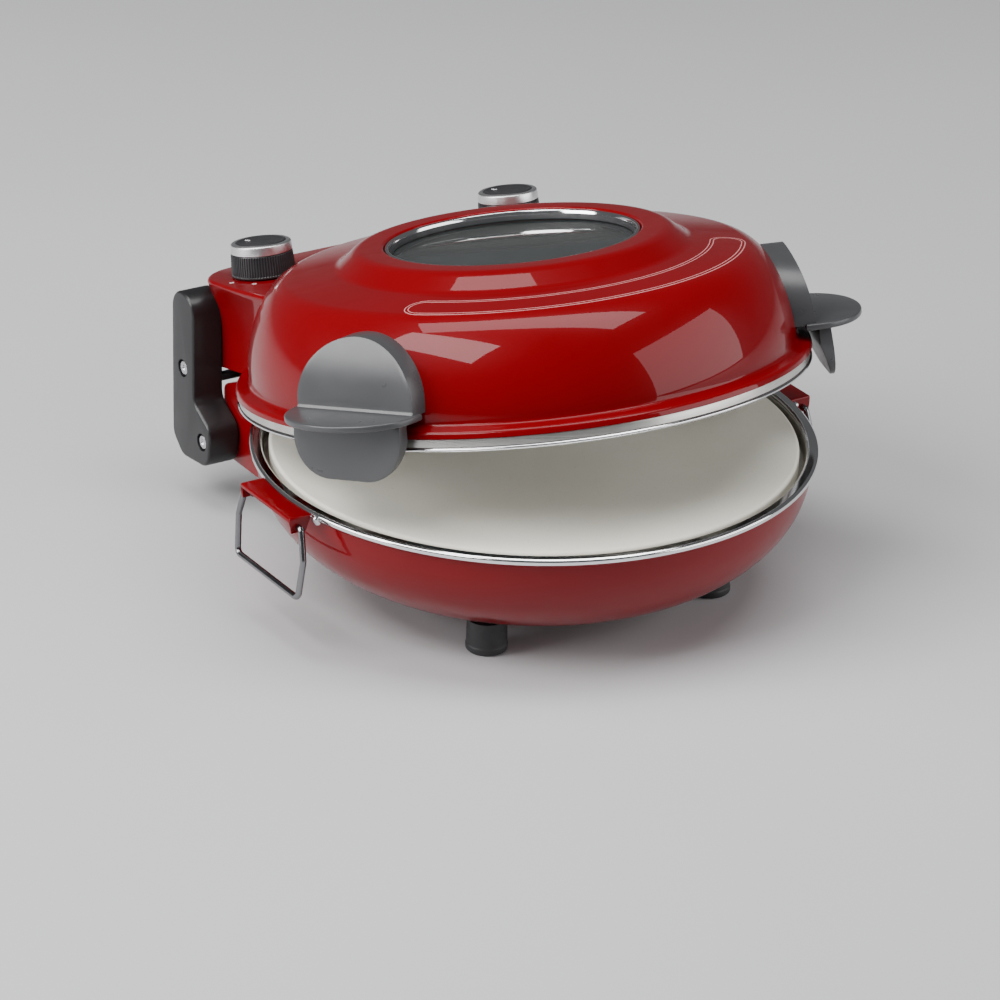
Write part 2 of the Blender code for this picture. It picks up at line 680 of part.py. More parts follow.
def build_arm(side, sign):
    low, high = sorted((sign * ARM_INNER_X, sign * ARM_OUTER_X))
    name = f"hinge_arm_{side}"
    mesh = outline_mesh(name, arm_outline(), low, high, plane="YZ")
    arm = add_part(name, mesh, ARMS, "black_plastic", False)
    floor = sign * (ARM_OUTER_X - RECESS_DEPTH)
    recess_end = sign * (ARM_OUTER_X + 0.005)
    through = (sign * 0.09, sign * 0.14)
    holes = (
        ("pin_recess", PIN_HEAD_RADIUS + 0.0006, floor, recess_end, (0, 0)),
        ("pin_bore", PIN_RADIUS + GAP, *through, (0, 0)),
        ("screw_recess", PIN_HEAD_RADIUS + 0.0006, floor, recess_end, (ARM_SCREW_Y, ARM_SCREW_Z)),
        ("screw_bore", 0.0023, *through, (ARM_SCREW_Y, ARM_SCREW_Z)),
    )
    for label, radius, start, end, (y, z) in holes:
        bore = rod_mesh(label, radius, start, end)
        cut(arm, add_cutter(f"{label}_{side}", bore, ARMS, location=(0, y, z)))
    rod_y, rod_z = hinge_rod_place()
    rod_hole = rod_mesh("rod_socket", 0.0034, sign * 0.09, sign * 0.1165)
    cut(arm, add_cutter(f"rod_socket_{side}", rod_hole, ARMS, location=(0, rod_y, rod_z)))
    place = (ARM_SCREW_Y, ARM_SCREW_Z)
    add_screw_part(f"arm_screw_{side}", screw_profile(0.0020, 0.0240), ARMS, sign, place)


def hinge_rod_place():
    """The cross rod's (y, z) in the arm frame, from its place just under the housing."""
    y = 0.1800 - HINGE_Y
    z = -0.0065 + LID_CLOSED_Z - HINGE_Z
    turn = -LID_TILT
    return y * math.cos(turn) - z * math.sin(turn), y * math.sin(turn) + z * math.cos(turn)


def build_hinge_rod():
    y, z = hinge_rod_place()
    rod = rod_mesh("hinge_rod", 0.0030, -0.1160, 0.1160)
    add_part("hinge_rod", rod, ARMS, "black_plastic", False, location=(0, y, z))


# ---------------------------------------------------------------- handles
def build_handle(side, turn):
    """A grip on the lid's wall: an arched body, a ledge for the fingers and an apron below it."""
    frame = make_empty(f"handle_frame_{side}", LID, rotation=(0, 0, turn))
    half = HANDLE_HALF_WIDTH
    arch = [(-half, 0.0100), (half, 0.0100), (half, 0.0260)]
    for step in range(1, 17):
        angle = math.pi * step / 17
        arch.append((half * math.cos(angle), 0.0260 + 0.0378 * math.sin(angle)))
    arch.append((-half, 0.0260))
    name = f"handle_{side}"
    mesh = outline_mesh(name, arch, 0.120, 0.200, plane="YZ")
    handle = add_part(name, mesh, frame, "grey_plastic", False)
    face = [
        (0.1000, 0.0090), (0.1745, 0.0090), (0.1745, 0.0195), (0.1692, 0.0205), (0.1686, 0.0330),
        (0.1662, 0.0470), (0.1634, 0.0565), (0.1607, 0.0638), (0.1590, 0.0680), (0.1000, 0.0680),
    ]
    side_profile = outline_mesh("handle_face", face, -0.06, 0.06, plane="XZ")
    combine(handle, add_cutter(f"handle_face_{side}", side_profile, frame), "INTERSECT")
    cut(handle, dome_cutter(f"handle_seat_{side}", LID))
    join(handle, add_cutter(f"handle_ledge_{side}", ledge_mesh(), frame))
    join(handle, apron_cutter(side, frame))


def ledge_mesh():
    root = 0.1660
    reach = LEDGE_REACH - root
    half = 0.0425
    plan = []
    for step in range(0, 21):
        angle = math.pi * (step / 20 - 0.5)
        out = root + reach * math.cos(angle) ** 0.8 if 0 < step < 20 else root
        plan.append((out, half * math.sin(angle)))
    return outline_mesh("handle_ledge", plan, 0.0185, 0.0225)


def apron_cutter(side, frame):
    half = 0.0370
    corner = 0.0240
    plan = arc((half - corner, 0.0090), corner, 0, -90, 8)
    plan = [(half, 0.0200)] + plan + [(-y, z) for y, z in reversed(plan)] + [(-half, 0.0200)]
    plate = outline_mesh("apron", plan, 0.160, 0.200, plane="YZ")
    apron = add_cutter(f"handle_apron_{side}", plate, frame)
    wedge = [(0.1722, 0.0200), (0.1722, 0.0078), (0.1810, -0.0180), (0.1822, -0.0180), (0.1790, 0.0200)]
    shape = outline_mesh("apron_wedge", wedge, -0.06, 0.06, plane="XZ")
    combine(apron, add_cutter(f"apron_wedge_{side}", shape, frame), "INTERSECT")
    return apron


def build_base():
    build_pan()
    build_tray()
    build_base_rings()
    build_lower_element()
    build_terminal_block()
    build_feet()
    build_rear_bracket()
    build_cable_gland()
    build_hinge_pins()
    for side, sign in (("left", -1), ("right", 1)):
        build_bail_bracket(side, sign)
        build_bail(side, sign)


def build_lid():
    build_lid_shell()
    build_lid_reflector()
    build_lid_rings()
    build_upper_element()
    build_rear_housing()
    build_housing_cover()
    build_control("thermostat", -1)
    build_control("timer", 1)
    build_hinge_rod()
    for side, sign in (("left", -1), ("right", 1)):
        build_arm(side, sign)
    build_handle("right", HANDLE_ANGLE - math.pi / 2)
    build_handle("left", -HANDLE_ANGLE - math.pi / 2)


build_base()
build_lid()
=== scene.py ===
"""Looks of the countertop pizza oven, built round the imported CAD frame.

Metres, +Z up, front of the oven towards -Y.  Three frames are used: PAN stands on the
worktop under the pan's axis, LID has its origin in the middle of the lid's rim plane,
and ARM has its origin on the hinge axis.
"""

import json
import math

import bmesh
import bpy
from mathutils import Matrix, Vector
from mathutils.geometry import interpolate_bezier


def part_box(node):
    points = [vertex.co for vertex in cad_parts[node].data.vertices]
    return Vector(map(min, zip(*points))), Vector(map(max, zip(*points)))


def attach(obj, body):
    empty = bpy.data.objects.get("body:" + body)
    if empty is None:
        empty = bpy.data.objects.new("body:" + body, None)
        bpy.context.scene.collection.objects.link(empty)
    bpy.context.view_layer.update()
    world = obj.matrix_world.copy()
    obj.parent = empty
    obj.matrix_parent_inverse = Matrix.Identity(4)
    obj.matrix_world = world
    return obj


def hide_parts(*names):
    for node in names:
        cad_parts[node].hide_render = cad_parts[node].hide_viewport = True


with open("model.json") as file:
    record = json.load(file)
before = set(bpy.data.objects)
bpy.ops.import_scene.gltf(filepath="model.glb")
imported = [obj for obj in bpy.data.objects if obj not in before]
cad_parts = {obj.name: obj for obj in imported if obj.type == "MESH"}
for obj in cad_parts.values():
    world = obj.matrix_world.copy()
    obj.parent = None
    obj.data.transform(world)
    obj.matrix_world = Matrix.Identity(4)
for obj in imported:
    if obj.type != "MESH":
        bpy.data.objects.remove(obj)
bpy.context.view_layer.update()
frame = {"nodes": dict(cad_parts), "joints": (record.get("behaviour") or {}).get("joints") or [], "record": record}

bpy.context.view_layer.update()

# ---------------------------------------------------------------- frames
HINGE = next(joint for joint in frame["joints"] if joint["name"] == "lid_hinge")
HINGE_POINT = Vector(HINGE["pos_m"])
LID_TILT = math.radians(-HINGE["range_deg"][0])
STONE_LOW, STONE_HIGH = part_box("pizza_stone")
PAN_AXIS_Y = (STONE_LOW.y + STONE_HIGH.y) / 2
LID_CLOSED_Z = 0.0877

PAN = Matrix.Translation((0, PAN_AXIS_Y, 0))
ARM = Matrix.Translation(HINGE_POINT)
LID = (
    ARM
    @ Matrix.Rotation(-LID_TILT, 4, "X")
    @ Matrix.Translation((0, PAN_AXIS_Y - HINGE_POINT.y, LID_CLOSED_Z - HINGE_POINT.z))
)
SIDES = (("left", -1), ("right", 1))

# ---------------------------------------------------------------- sizes
TURN_STEPS = 192
SMOOTH_ANGLE = math.radians(38)

PAN_RADIUS = 0.1655
PAN_TOP_Z = 0.0815
PAN_DEPTH = 0.0750
SHEET = 0.0012
RING_RADIUS = 0.1690
STONE_RADIUS = (STONE_HIGH.x - STONE_LOW.x) / 2
LID_LIP_RADIUS = 0.1712
GLASS_RADIUS = 0.0728
ELEMENT_TUBE_RADIUS = 0.0033

HOUSING_HALF_WIDTH = 0.1097
HOUSING_FRONT_Y = 0.0880
HOUSING_REAR_Y = 0.1890
HOUSING_TOP_Z = 0.0575
LOBE_RADIUS = 0.0310
KNOB_X = 0.0878
KNOB_Y = 0.1503
KNOB_RADIUS = 0.0192
KNOB_RIDGES = 72

ARM_OUTER_X = 0.1310
ARM_INNER_X = 0.1100
ARM_SCREW = (0.0237, 0.0405)
SCREW_RECESS = 0.0035

HANDLE_ANGLE = math.radians(65.5)
HANDLE_HALF_WIDTH = 0.0402
LEDGE_REACH = 0.2037

BAIL_X = 0.1760
BAIL_Z = 0.0795
BAIL_WIRE_RADIUS = 0.0019
BAIL_SWING = math.radians(5)
BRACKET_FRONT_Y = -0.0260
BRACKET_REAR_Y = 0.0320
BRACKET_OUTER_X = 0.1818


# ---------------------------------------------------------------- materials
class Nodes:
    """Builds one material's node tree in object coordinates."""

    def __init__(self, name, colour, roughness, metallic=0.0):
        self.material = bpy.data.materials.new(name)
        self.material.use_nodes = True
        self.tree = self.material.node_tree
        self.shader = self.tree.nodes["Principled BSDF"]
        self.place = self.tree.nodes.new("ShaderNodeTexCoord").outputs["Object"]
        self.set("Base Color", (*colour, 1.0))
        self.set("Roughness", roughness)
        self.set("Metallic", metallic)
        self.material.diffuse_color = (*colour, 1.0)

    def set(self, socket, value):
        self.shader.inputs[socket].default_value = value

    def noise(self, scale, detail=3.0, place=None):
        node = self.tree.nodes.new("ShaderNodeTexNoise")
        node.inputs["Scale"].default_value = scale
        node.inputs["Detail"].default_value = detail
        self.tree.links.new(place or self.place, node.inputs["Vector"])
        return node.outputs["Fac"]

    def ramp(self, fac, stops):
        node = self.tree.nodes.new("ShaderNodeValToRGB")
        ramp = node.color_ramp
        while len(ramp.elements) < len(stops):
            ramp.elements.new(0.5)
        for element, (position, value) in zip(ramp.elements, stops):
            element.position = position
            element.color = (*value, 1.0) if hasattr(value, "__len__") else (value, value, value, 1.0)
        self.tree.links.new(fac, node.inputs["Fac"])
        return node.outputs["Color"]

    def radial(self, scale):
        """Noise that only changes with the distance from the Z axis: lathe marks."""
        add, link = self.tree.nodes.new, self.tree.links.new
        split, flat, join = (add(f"ShaderNode{kind}XYZ") for kind in ("Separate", "Combine", "Combine"))
        length = add("ShaderNodeVectorMath")
        length.operation = "LENGTH"
        link(self.place, split.inputs["Vector"])
        link(split.outputs["X"], flat.inputs["X"])
        link(split.outputs["Y"], flat.inputs["Y"])
        link(flat.outputs["Vector"], length.inputs[0])
        link(length.outputs["Value"], join.inputs["X"])
        link(split.outputs["Z"], join.inputs["Z"])
        return self.noise(scale, 4.0, join.outputs["Vector"])

    def colour(self, fac, stops):
        self.tree.links.new(self.ramp(fac, stops), self.shader.inputs["Base Color"])

    def roughness(self, fac, low, high):
        self.tree.links.new(self.ramp(fac, [(0.3, low), (0.7, high)]), self.shader.inputs["Roughness"])

    def bump(self, fac, distance, strength=0.5):
        node = self.tree.nodes.new("ShaderNodeBump")
        node.inputs["Distance"].default_value = distance
        node.inputs["Strength"].default_value = strength
        self.tree.links.new(fac, node.inputs["Height"])
        self.tree.links.new(node.outputs["Normal"], self.shader.inputs["Normal"])


def red_enamel():
    """Deep red stoved enamel: a faint orange peel under a clear gloss."""
    look = Nodes("red_enamel", (0.165, 0.0, 0.0028), 0.30)
    look.colour(look.noise(9.0, 2.0), [(0.25, (0.155, 0.0, 0.0025)), (0.75, (0.175, 0.0, 0.0031))])
    look.roughness(look.noise(60.0), 0.30, 0.38)
    look.bump(look.noise(420.0, 1.0), 0.00004, 0.10)
    look.set("Coat Weight", 0.65)
    look.set("Coat Roughness", 0.015)
    look.set("Coat IOR", 1.38)
    look.set("Specular IOR Level", 0.05)
    return look.material


def bright_chrome():
    look = Nodes("bright_chrome", (0.80, 0.80, 0.81), 0.08, 1.0)
    look.colour(look.noise(30.0), [(0.3, (0.74, 0.74, 0.75)), (0.7, (0.84, 0.84, 0.85))])
    look.roughness(look.noise(160.0, 5.0), 0.07, 0.12)
    look.bump(look.noise(25.0, 1.0), 0.00002, 0.10)
    return look.material


def bail_wire():
    """The bails' chrome wire, darkened as painted shade: the dark grey stands in for the dark surroundings that
    the wire reflects.
    """
    # painted shade: dark grey chrome colour in place of reflected dark surroundings
    look = Nodes("bail_wire", (0.22, 0.22, 0.23), 0.16, 1.0)
    look.colour(look.noise(30.0), [(0.3, (0.18, 0.18, 0.19)), (0.7, (0.26, 0.26, 0.27))])
    look.roughness(look.noise(160.0, 4.0), 0.14, 0.22)
    look.bump(look.noise(90.0), 0.00002, 0.2)
    return look.material


def rolled_steel():
    """Aluminised sheet, bright with drawing marks round the axis."""
    look = Nodes("rolled_steel", (0.62, 0.61, 0.58), 0.30, 1.0)
    look.colour(look.noise(45.0, 4.0), [(0.3, (0.56, 0.55, 0.52)), (0.7, (0.70, 0.69, 0.66))])
    look.roughness(look.radial(900.0), 0.24, 0.38)
    look.bump(look.radial(1400.0), 0.00002, 0.3)
    return look.material


def plated_steel():
    look = Nodes("plated_steel", (0.60, 0.60, 0.61), 0.35, 1.0)
    look.colour(look.noise(120.0, 4.0), [(0.3, (0.52, 0.52, 0.53)), (0.7, (0.66, 0.66, 0.68))])
    look.roughness(look.noise(240.0), 0.28, 0.44)
    look.bump(look.noise(700.0), 0.00003, 0.3)
    return look.material


def screw_steel():
    look = Nodes("screw_steel", (0.58, 0.58, 0.60), 0.25, 1.0)
    look.colour(look.noise(300.0, 4.0), [(0.3, (0.50, 0.50, 0.52)), (0.7, (0.68, 0.68, 0.70))])
    look.roughness(look.radial(2400.0), 0.18, 0.34)
    look.bump(look.radial(3000.0), 0.00002, 0.3)
    return look.material


def element_sheath():
    """Heater tube darkened by heat, in uneven patches."""
    look = Nodes("element_sheath", (0.14, 0.13, 0.13), 0.5, 0.85)
    bands = [(0.25, (0.09, 0.085, 0.09)), (0.55, (0.17, 0.15, 0.14)), (0.8, (0.24, 0.20, 0.17))]
    look.colour(look.noise(70.0, 4.0), bands)
    look.roughness(look.noise(200.0), 0.40, 0.60)
    look.bump(look.noise(900.0), 0.00004, 0.4)
    return look.material


def baking_stone():
    """Cordierite: ivory, matte, finely pitted, with small tan grains and faint toasting."""
    look = Nodes("baking_stone", (0.92, 0.88, 0.78), 0.85)
    tree = look.tree
    mix = tree.nodes.new("ShaderNodeMix")
    mix.data_type = "RGBA"
    mix.blend_type = "MULTIPLY"
    mix.inputs["Factor"].default_value = 0.30
    base = look.ramp(look.noise(14.0, 5.0), [(0.3, (0.90, 0.86, 0.74)), (0.7, (0.94, 0.91, 0.81))])
    grain = look.ramp(look.noise(950.0, 2.0), [(0.26, (0.60, 0.52, 0.40)), (0.38, (1.0, 1.0, 1.0))])
    tree.links.new(base, mix.inputs["A"])
    tree.links.new(grain, mix.inputs["B"])
    tree.links.new(mix.outputs["Result"], look.shader.inputs["Base Color"])
    look.roughness(look.noise(300.0), 0.80, 0.95)
    look.bump(look.noise(1300.0, 4.0), 0.00012, 0.45)
    look.set("Specular IOR Level", 0.2)
    return look.material


def charcoal_plastic():
    """Moulded phenolic of the side grips: satin charcoal with a fine spark-eroded grain."""
    look = Nodes("charcoal_plastic", (0.050, 0.051, 0.054), 0.30)
    look.colour(look.noise(25.0, 3.0), [(0.3, (0.045, 0.046, 0.049)), (0.7, (0.055, 0.056, 0.059))])
    look.roughness(look.noise(60.0, 3.0), 0.27, 0.33)
    look.bump(look.noise(1500.0, 2.0), 0.00002, 0.25)
    return look.material


def arm_plastic():
    """The hinge arms' darker, smoother moulding."""
    look = Nodes("arm_plastic", (0.011, 0.011, 0.012), 0.34)
    look.colour(look.noise(25.0, 3.0), [(0.3, (0.009, 0.009, 0.010)), (0.7, (0.013, 0.013, 0.014))])
    look.roughness(look.noise(40.0, 2.0), 0.31, 0.37)
    look.bump(look.noise(1500.0, 2.0), 0.00002, 0.2)
    return look.material


def black_plastic():
    look = Nodes("black_plastic", (0.020, 0.020, 0.022), 0.38)
    look.colour(look.noise(40.0), [(0.3, (0.016, 0.016, 0.018)), (0.7, (0.026, 0.026, 0.028))])
    look.roughness(look.noise(160.0, 4.0), 0.32, 0.45)
    look.bump(look.noise(1800.0, 2.0), 0.00003, 0.3)
    return look.material


def brushed_band():
    """Spun aluminium with marks round its axis."""
    look = Nodes("brushed_band", (0.72, 0.72, 0.73), 0.22, 1.0)
    look.colour(look.radial(1500.0), [(0.3, (0.64, 0.64, 0.65)), (0.7, (0.80, 0.80, 0.81))])
    look.roughness(look.radial(2600.0), 0.28, 0.40)
    look.bump(look.radial(3200.0), 0.00001, 0.15)
    return look.material


def matte_rubber():
    look = Nodes("matte_rubber", (0.022, 0.022, 0.024), 0.60)
    look.colour(look.noise(60.0), [(0.3, (0.018, 0.018, 0.020)), (0.7, (0.030, 0.030, 0.032))])
    look.roughness(look.noise(240.0), 0.50, 0.68)
    look.bump(look.noise(1200.0), 0.00005, 0.4)
    return look.material


def terminal_ceramic():
    look = Nodes("terminal_ceramic", (0.82, 0.80, 0.75), 0.6)
    look.colour(look.noise(500.0, 2.0), [(0.3, (0.70, 0.67, 0.60)), (0.5, (0.84, 0.82, 0.77))])
    look.roughness(look.noise(300.0), 0.5, 0.7)
    look.bump(look.noise(900.0), 0.00005, 0.4)
    return look.material


def oven_glass():
    """Flat tempered pane with a grey-green cast and a trace of haze."""
    look = Nodes("oven_glass", (0.30, 0.32, 0.32), 0.02)
    look.colour(look.noise(12.0), [(0.3, (0.27, 0.29, 0.29)), (0.7, (0.32, 0.34, 0.34))])
    look.roughness(look.noise(25.0, 4.0), 0.015, 0.06)
    look.bump(look.noise(30.0, 1.0), 0.00001, 0.1)
    look.set("Transmission Weight", 0.9)
    look.set("IOR", 1.5)
    return look.material


def dial_print():
    look = Nodes("dial_print", (0.75, 0.74, 0.72), 0.5)
    look.colour(look.noise(900.0), [(0.3, (0.66, 0.65, 0.63)), (0.6, (0.80, 0.79, 0.77))])
    look.roughness(look.noise(700.0), 0.4, 0.55)
    return look.material


def lid_print():
    """Thin pink-white line work on the lid."""
    look = Nodes("lid_print", (0.55, 0.22, 0.22), 0.4)
    look.colour(look.noise(900.0), [(0.3, (0.48, 0.17, 0.17)), (0.6, (0.60, 0.26, 0.26))])
    look.roughness(look.noise(700.0), 0.3, 0.45)
    return look.material


MATERIALS = {
    "red_paint": red_enamel(),
    "chrome": bright_chrome(),
    "polished_steel": rolled_steel(),
    "plated_steel": plated_steel(),
    "screw_steel": screw_steel(),
    "element_sheath": element_sheath(),
    "stone": baking_stone(),
    "window_glass": oven_glass(),
    "seal": matte_rubber(),
    "grip_plastic": charcoal_plastic(),
    "arm_plastic": arm_plastic(),
    "knob_plastic": black_plastic(),
    "knob_band": brushed_band(),
    "terminal_ceramic": terminal_ceramic(),
}
MATERIALS["foot_rubber"] = MATERIALS["seal"]
MATERIALS["rod_black"] = MATERIALS["knob_plastic"]
# chrome wire with painted-dark colour, standing in for reflected dark surroundings
BAIL_WIRE_PAINTED_DARK = bail_wire()
DIAL_PRINT = dial_print()
LID_PRINT = lid_print()


# ---------------------------------------------------------------- outlines
def round_corner(before, here, after, radius, steps):
    """Points on the arc that rounds the corner here, in two dimensions or three."""
    back, ahead = before - here, after - here
    half = back.angle(ahead) / 2
    reach = min(radius / math.tan(half), back.length * 0.49, ahead.length * 0.49)
    centre = here + (back.normalized() + ahead.normalized()).normalized() * (reach / math.cos(half))
    start = here + back.normalized() * reach - centre
    end = here + ahead.normalized() * reach - centre
    sweep = start.angle(end)
    points = []
    for step in range(steps + 1):
        share = step / steps
        swing = start * math.sin((1 - share) * sweep) + end * math.sin(share * sweep)
        points.append(centre + swing / math.sin(sweep))
    return points


def round_path(corners, closed=False, steps=8):
    """Turns corners, each a point's coordinates and then a radius, into a path with those corners rounded."""
    path = []
    count = len(corners)
    for index, (*place, radius) in enumerate(corners):
        here = Vector(place)
        if radius == 0 or (not closed and index in (0, count - 1)):
            path.append(here)
            continue
        before, after = Vector(corners[index - 1][:-1]), Vector(corners[(index + 1) % count][:-1])
        path += round_corner(before, here, after, radius, steps)
    return path


def fillet(corners, closed=False, steps=8):
    """The same for an outline of corners (across, up, radius), as plain pairs."""
    return [tuple(point) for point in round_path(corners, closed, steps)]


def bezier(start, start_pull, end_pull, end, steps=24):
    """A cubic curve from start to end, pulled towards the two middle points."""
    corners = [Vector((*point, 0.0)) for point in (start, start_pull, end_pull, end)]
    return [(point.x, point.y) for point in interpolate_bezier(*corners, steps + 1)]


def arc(centre, radius, start, end, steps):
    """Points on a circle between two angles in degrees, both ends included."""
    points = []
    for step in range(steps + 1):
        angle = math.radians(start + (end - start) * step / steps)
        points.append((centre[0] + radius * math.cos(angle), centre[1] + radius * math.sin(angle)))
    return points


def offset(outline, distance):
    """The open outline moved sideways, to the right of its direction."""
    moved = []
    for index, point in enumerate(outline):
        before = Vector(outline[max(index - 1, 0)])
        after = Vector(outline[min(index + 1, len(outline) - 1)])
        along = (after - before).normalized()
        moved.append((point[0] + along.y * distance, point[1] - along.x * distance))
    return moved


def resample(outline, count):
    """The same open outline as count + 1 points, evenly spaced."""
    points = [Vector(point) for point in outline]
    lengths = [0.0]
    for first, second in zip(points, points[1:]):
        lengths.append(lengths[-1] + (second - first).length)
    result = []
    segment = 0
    for step in range(count + 1):
        target = lengths[-1] * step / count
        while segment < len(points) - 2 and lengths[segment + 1] < target:
            segment += 1
        span = lengths[segment + 1] - lengths[segment]
        share = (target - lengths[segment]) / span if span else 0.0
        result.append(points[segment].lerp(points[segment + 1], min(max(share, 0.0), 1.0)))
    return [tuple(point) for point in result]


# ---------------------------------------------------------------- meshes
def new_object(name, data):
    item = bpy.data.objects.new(name, data)
    bpy.context.scene.collection.objects.link(item)
    return item


def finish_mesh(name, shape):
    """Closes off a bmesh as a mesh with outward normals and soft shading."""
    bmesh.ops.recalc_face_normals(shape, faces=shape.faces)
    mesh = bpy.data.meshes.new(name)
    shape.to_mesh(mesh)
    shape.free()
    mesh.shade_smooth()
    mesh.set_sharp_from_angle(angle=SMOOTH_ANGLE)
    return mesh


def turned_mesh(name, profile, closed=True, steps=TURN_STEPS, ridges=None):
    """The profile (radius, height) turned about Z.  ridges(step, radius, height) may vary the radius."""
    shape = bmesh.new()
    rings = []
    for radius, height in profile:
        if radius < 1e-6:
            rings.append([shape.verts.new((0, 0, height))])
            continue
        ring = []
        for step in range(steps):
            angle = 2 * math.pi * step / steps
            reach = ridges(step, radius, height) if ridges else radius
            ring.append(shape.verts.new((reach * math.cos(angle), reach * math.sin(angle), height)))
        rings.append(ring)
    pairs = list(zip(rings, rings[1:]))
    if closed:
        pairs.append((rings[-1], rings[0]))
    for lower, upper in pairs:
        for step in range(steps):
            after = (step + 1) % steps
            corners = [lower[step % len(lower)], lower[after % len(lower)]]
            corners += [upper[after % len(upper)], upper[step % len(upper)]]
            face = list(dict.fromkeys(corners))
            if len(face) > 2:
                shape.faces.new(face)
    return finish_mesh(name, shape)


def loft_mesh(name, rows, cap_start=True, cap_end=True, closed_rows=True):
    """Rows of 3-D points, one after the other, skinned into a body."""
    shape = bmesh.new()
    rings = [[shape.verts.new(point) for point in row] for row in rows]
    for lower, upper in zip(rings, rings[1:]):
        count = len(lower)
        for step in range(count if closed_rows else count - 1):
            after = (step + 1) % count
            shape.faces.new((lower[step], lower[after], upper[after], upper[step]))
    if cap_start:
        shape.faces.new(list(reversed(rings[0])))
    if cap_end:
        shape.faces.new(rings[-1])
    return finish_mesh(name, shape)


def slab_mesh(name, outline, low, high, edge=0.0008, plane="XY", steps=3):
    """A closed outline raised from low to high, with its two rims rounded by edge."""
    loop = list(outline)
    area = sum(a[0] * b[1] - b[0] * a[1] for a, b in zip(loop, loop[1:] + loop[:1]))
    if area < 0:
        loop.reverse()
    rows = []
    for side, level in ((-1, low), (1, high)):
        ring = []
        for step in range(steps + 1):
            angle = math.pi / 2 * step / steps
            ring.append((edge * (1 - math.sin(angle)), level - side * edge * (1 - math.cos(angle))))
        rows += ring if side < 0 else list(reversed(ring))
    return loft_mesh(name, [lay(shrink(loop, inset), height, plane) for inset, height in rows])


def shrink(loop, inset):
    """A closed, anticlockwise loop moved inwards."""
    if inset < 1e-9:
        return loop
    count = len(loop)
    moved = []
    for index, point in enumerate(loop):
        before = Vector(loop[index - 1])
        after = Vector(loop[(index + 1) % count])
        here = Vector(point)
        first = (here - before).normalized()
        second = (after - here).normalized()
        bisector = (first + second).orthogonal().normalized()
        cosine = max(bisector.dot(second.orthogonal()), 0.35)
        moved.append((point[0] + bisector.x * inset / cosine, point[1] + bisector.y * inset / cosine))
    return moved


def lay(loop, height, plane):
    """The loop's points in space, at that height above the XY or YZ plane."""
    if plane == "YZ":
        return [(height, across, up) for across, up in loop]
    return [(across, up, height) for across, up in loop]


def tube_mesh(name, path, radius, sides=20):
    """A round bar along a row of points, with its frame carried along so that it doesn't twist."""
    points = [Vector(point) for point in path]
    rows = []
    normal = None
    for index, point in enumerate(points):
        along = (points[min(index + 1, len(points) - 1)] - points[max(index - 1, 0)]).normalized()
        if normal is None:
            normal = along.orthogonal().normalized()
        normal = (normal - along * normal.dot(along)).normalized()
        across = along.cross(normal)
        row = []
        for side in range(sides):
            angle = 2 * math.pi * side / sides
            row.append(point + (normal * math.cos(angle) + across * math.sin(angle)) * radius)
        rows.append(row)
    return loft_mesh(name, rows)


def panel_mesh(name, rows, front, back, columns=24):
    """A plate across the radius: rows of (height, half width), with its faces at front(z) and back(z)."""
    shape = bmesh.new()
    borders = []
    for reach in (front, back):
        grid = []
        for height, half in rows:
            shares = [2 * column / columns - 1 for column in range(columns + 1)]
            grid.append([shape.verts.new((reach(height), half * share, height)) for share in shares])
        for lower, upper in zip(grid, grid[1:]):
            for column in range(columns):
                shape.faces.new((lower[column], lower[column + 1], upper[column + 1], upper[column]))
        border = grid[0] + [row[-1] for row in grid[1:]]
        borders.append(border + grid[-1][-2::-1] + [row[0] for row in grid[-2:0:-1]])
    first, second = borders
    for index in range(len(first)):
        shape.faces.new((first[index - 1], first[index], second[index], second[index - 1]))
    return finish_mesh(name, shape)


# ---------------------------------------------------------------- pieces
SPUN_SLOTS = ("knob_band", "screw_steel")  # their lathe marks need the piece's own axis


def add_piece(name, mesh, place, body, slot, nodes=(), material=None):
    if slot not in SPUN_SLOTS:
        mesh.transform(place.to_3x3().to_4x4())
        place = Matrix.Translation(place.translation)
    piece = new_object(name, mesh)
    piece.matrix_world = place
    mesh.materials.clear()
    mesh.materials.append(material or MATERIALS[slot])
    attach(piece, body)
    if nodes:
        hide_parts(*nodes)
    return piece


def carve(piece, *cutters):
    """Cuts the meshes of cutters, which are in the piece's own frame, out of the piece."""
    tools = []
    for mesh in cutters:
        tool = new_object("cutter", mesh)
        tool.matrix_world = piece.matrix_world
        modifier = piece.modifiers.new("cut", "BOOLEAN")
        modifier.object = tool
        modifier.solver = "EXACT"
        tools.append(tool)
    apply_modifiers(piece)
    for tool in tools:
        bpy.data.objects.remove(tool)


def apply_modifiers(piece):
    bpy.context.view_layer.update()
    graph = bpy.context.evaluated_depsgraph_get()
    mesh = bpy.data.meshes.new_from_object(piece.evaluated_get(graph))
    piece.modifiers.clear()
    piece.data = mesh
    mesh.shade_smooth()
    mesh.set_sharp_from_angle(angle=SMOOTH_ANGLE)


def soften(piece, width):
    """Rounds the piece's sharp edges."""
    bevel = piece.modifiers.new("edges", "BEVEL")
    bevel.width = width
    bevel.segments = 3
    bevel.limit_method = "ANGLE"
    bevel.angle_limit = math.radians(50)
    apply_modifiers(piece)


# ---------------------------------------------------------------- base
def pan_curve(inset, steps=72):
    """The bowl, from the top of its wall to its bottom: a superellipse."""
    points = []
    for step in range(steps + 1):
        angle = math.pi / 2 * step / steps
        radius = (PAN_RADIUS - inset) * max(math.cos(angle), 0.0) ** (2 / 3)
        height = PAN_TOP_Z - (PAN_DEPTH - inset) * math.sin(angle) ** (2 / 2.1)
        points.append((radius if step < steps else 0.0, height))
    return points


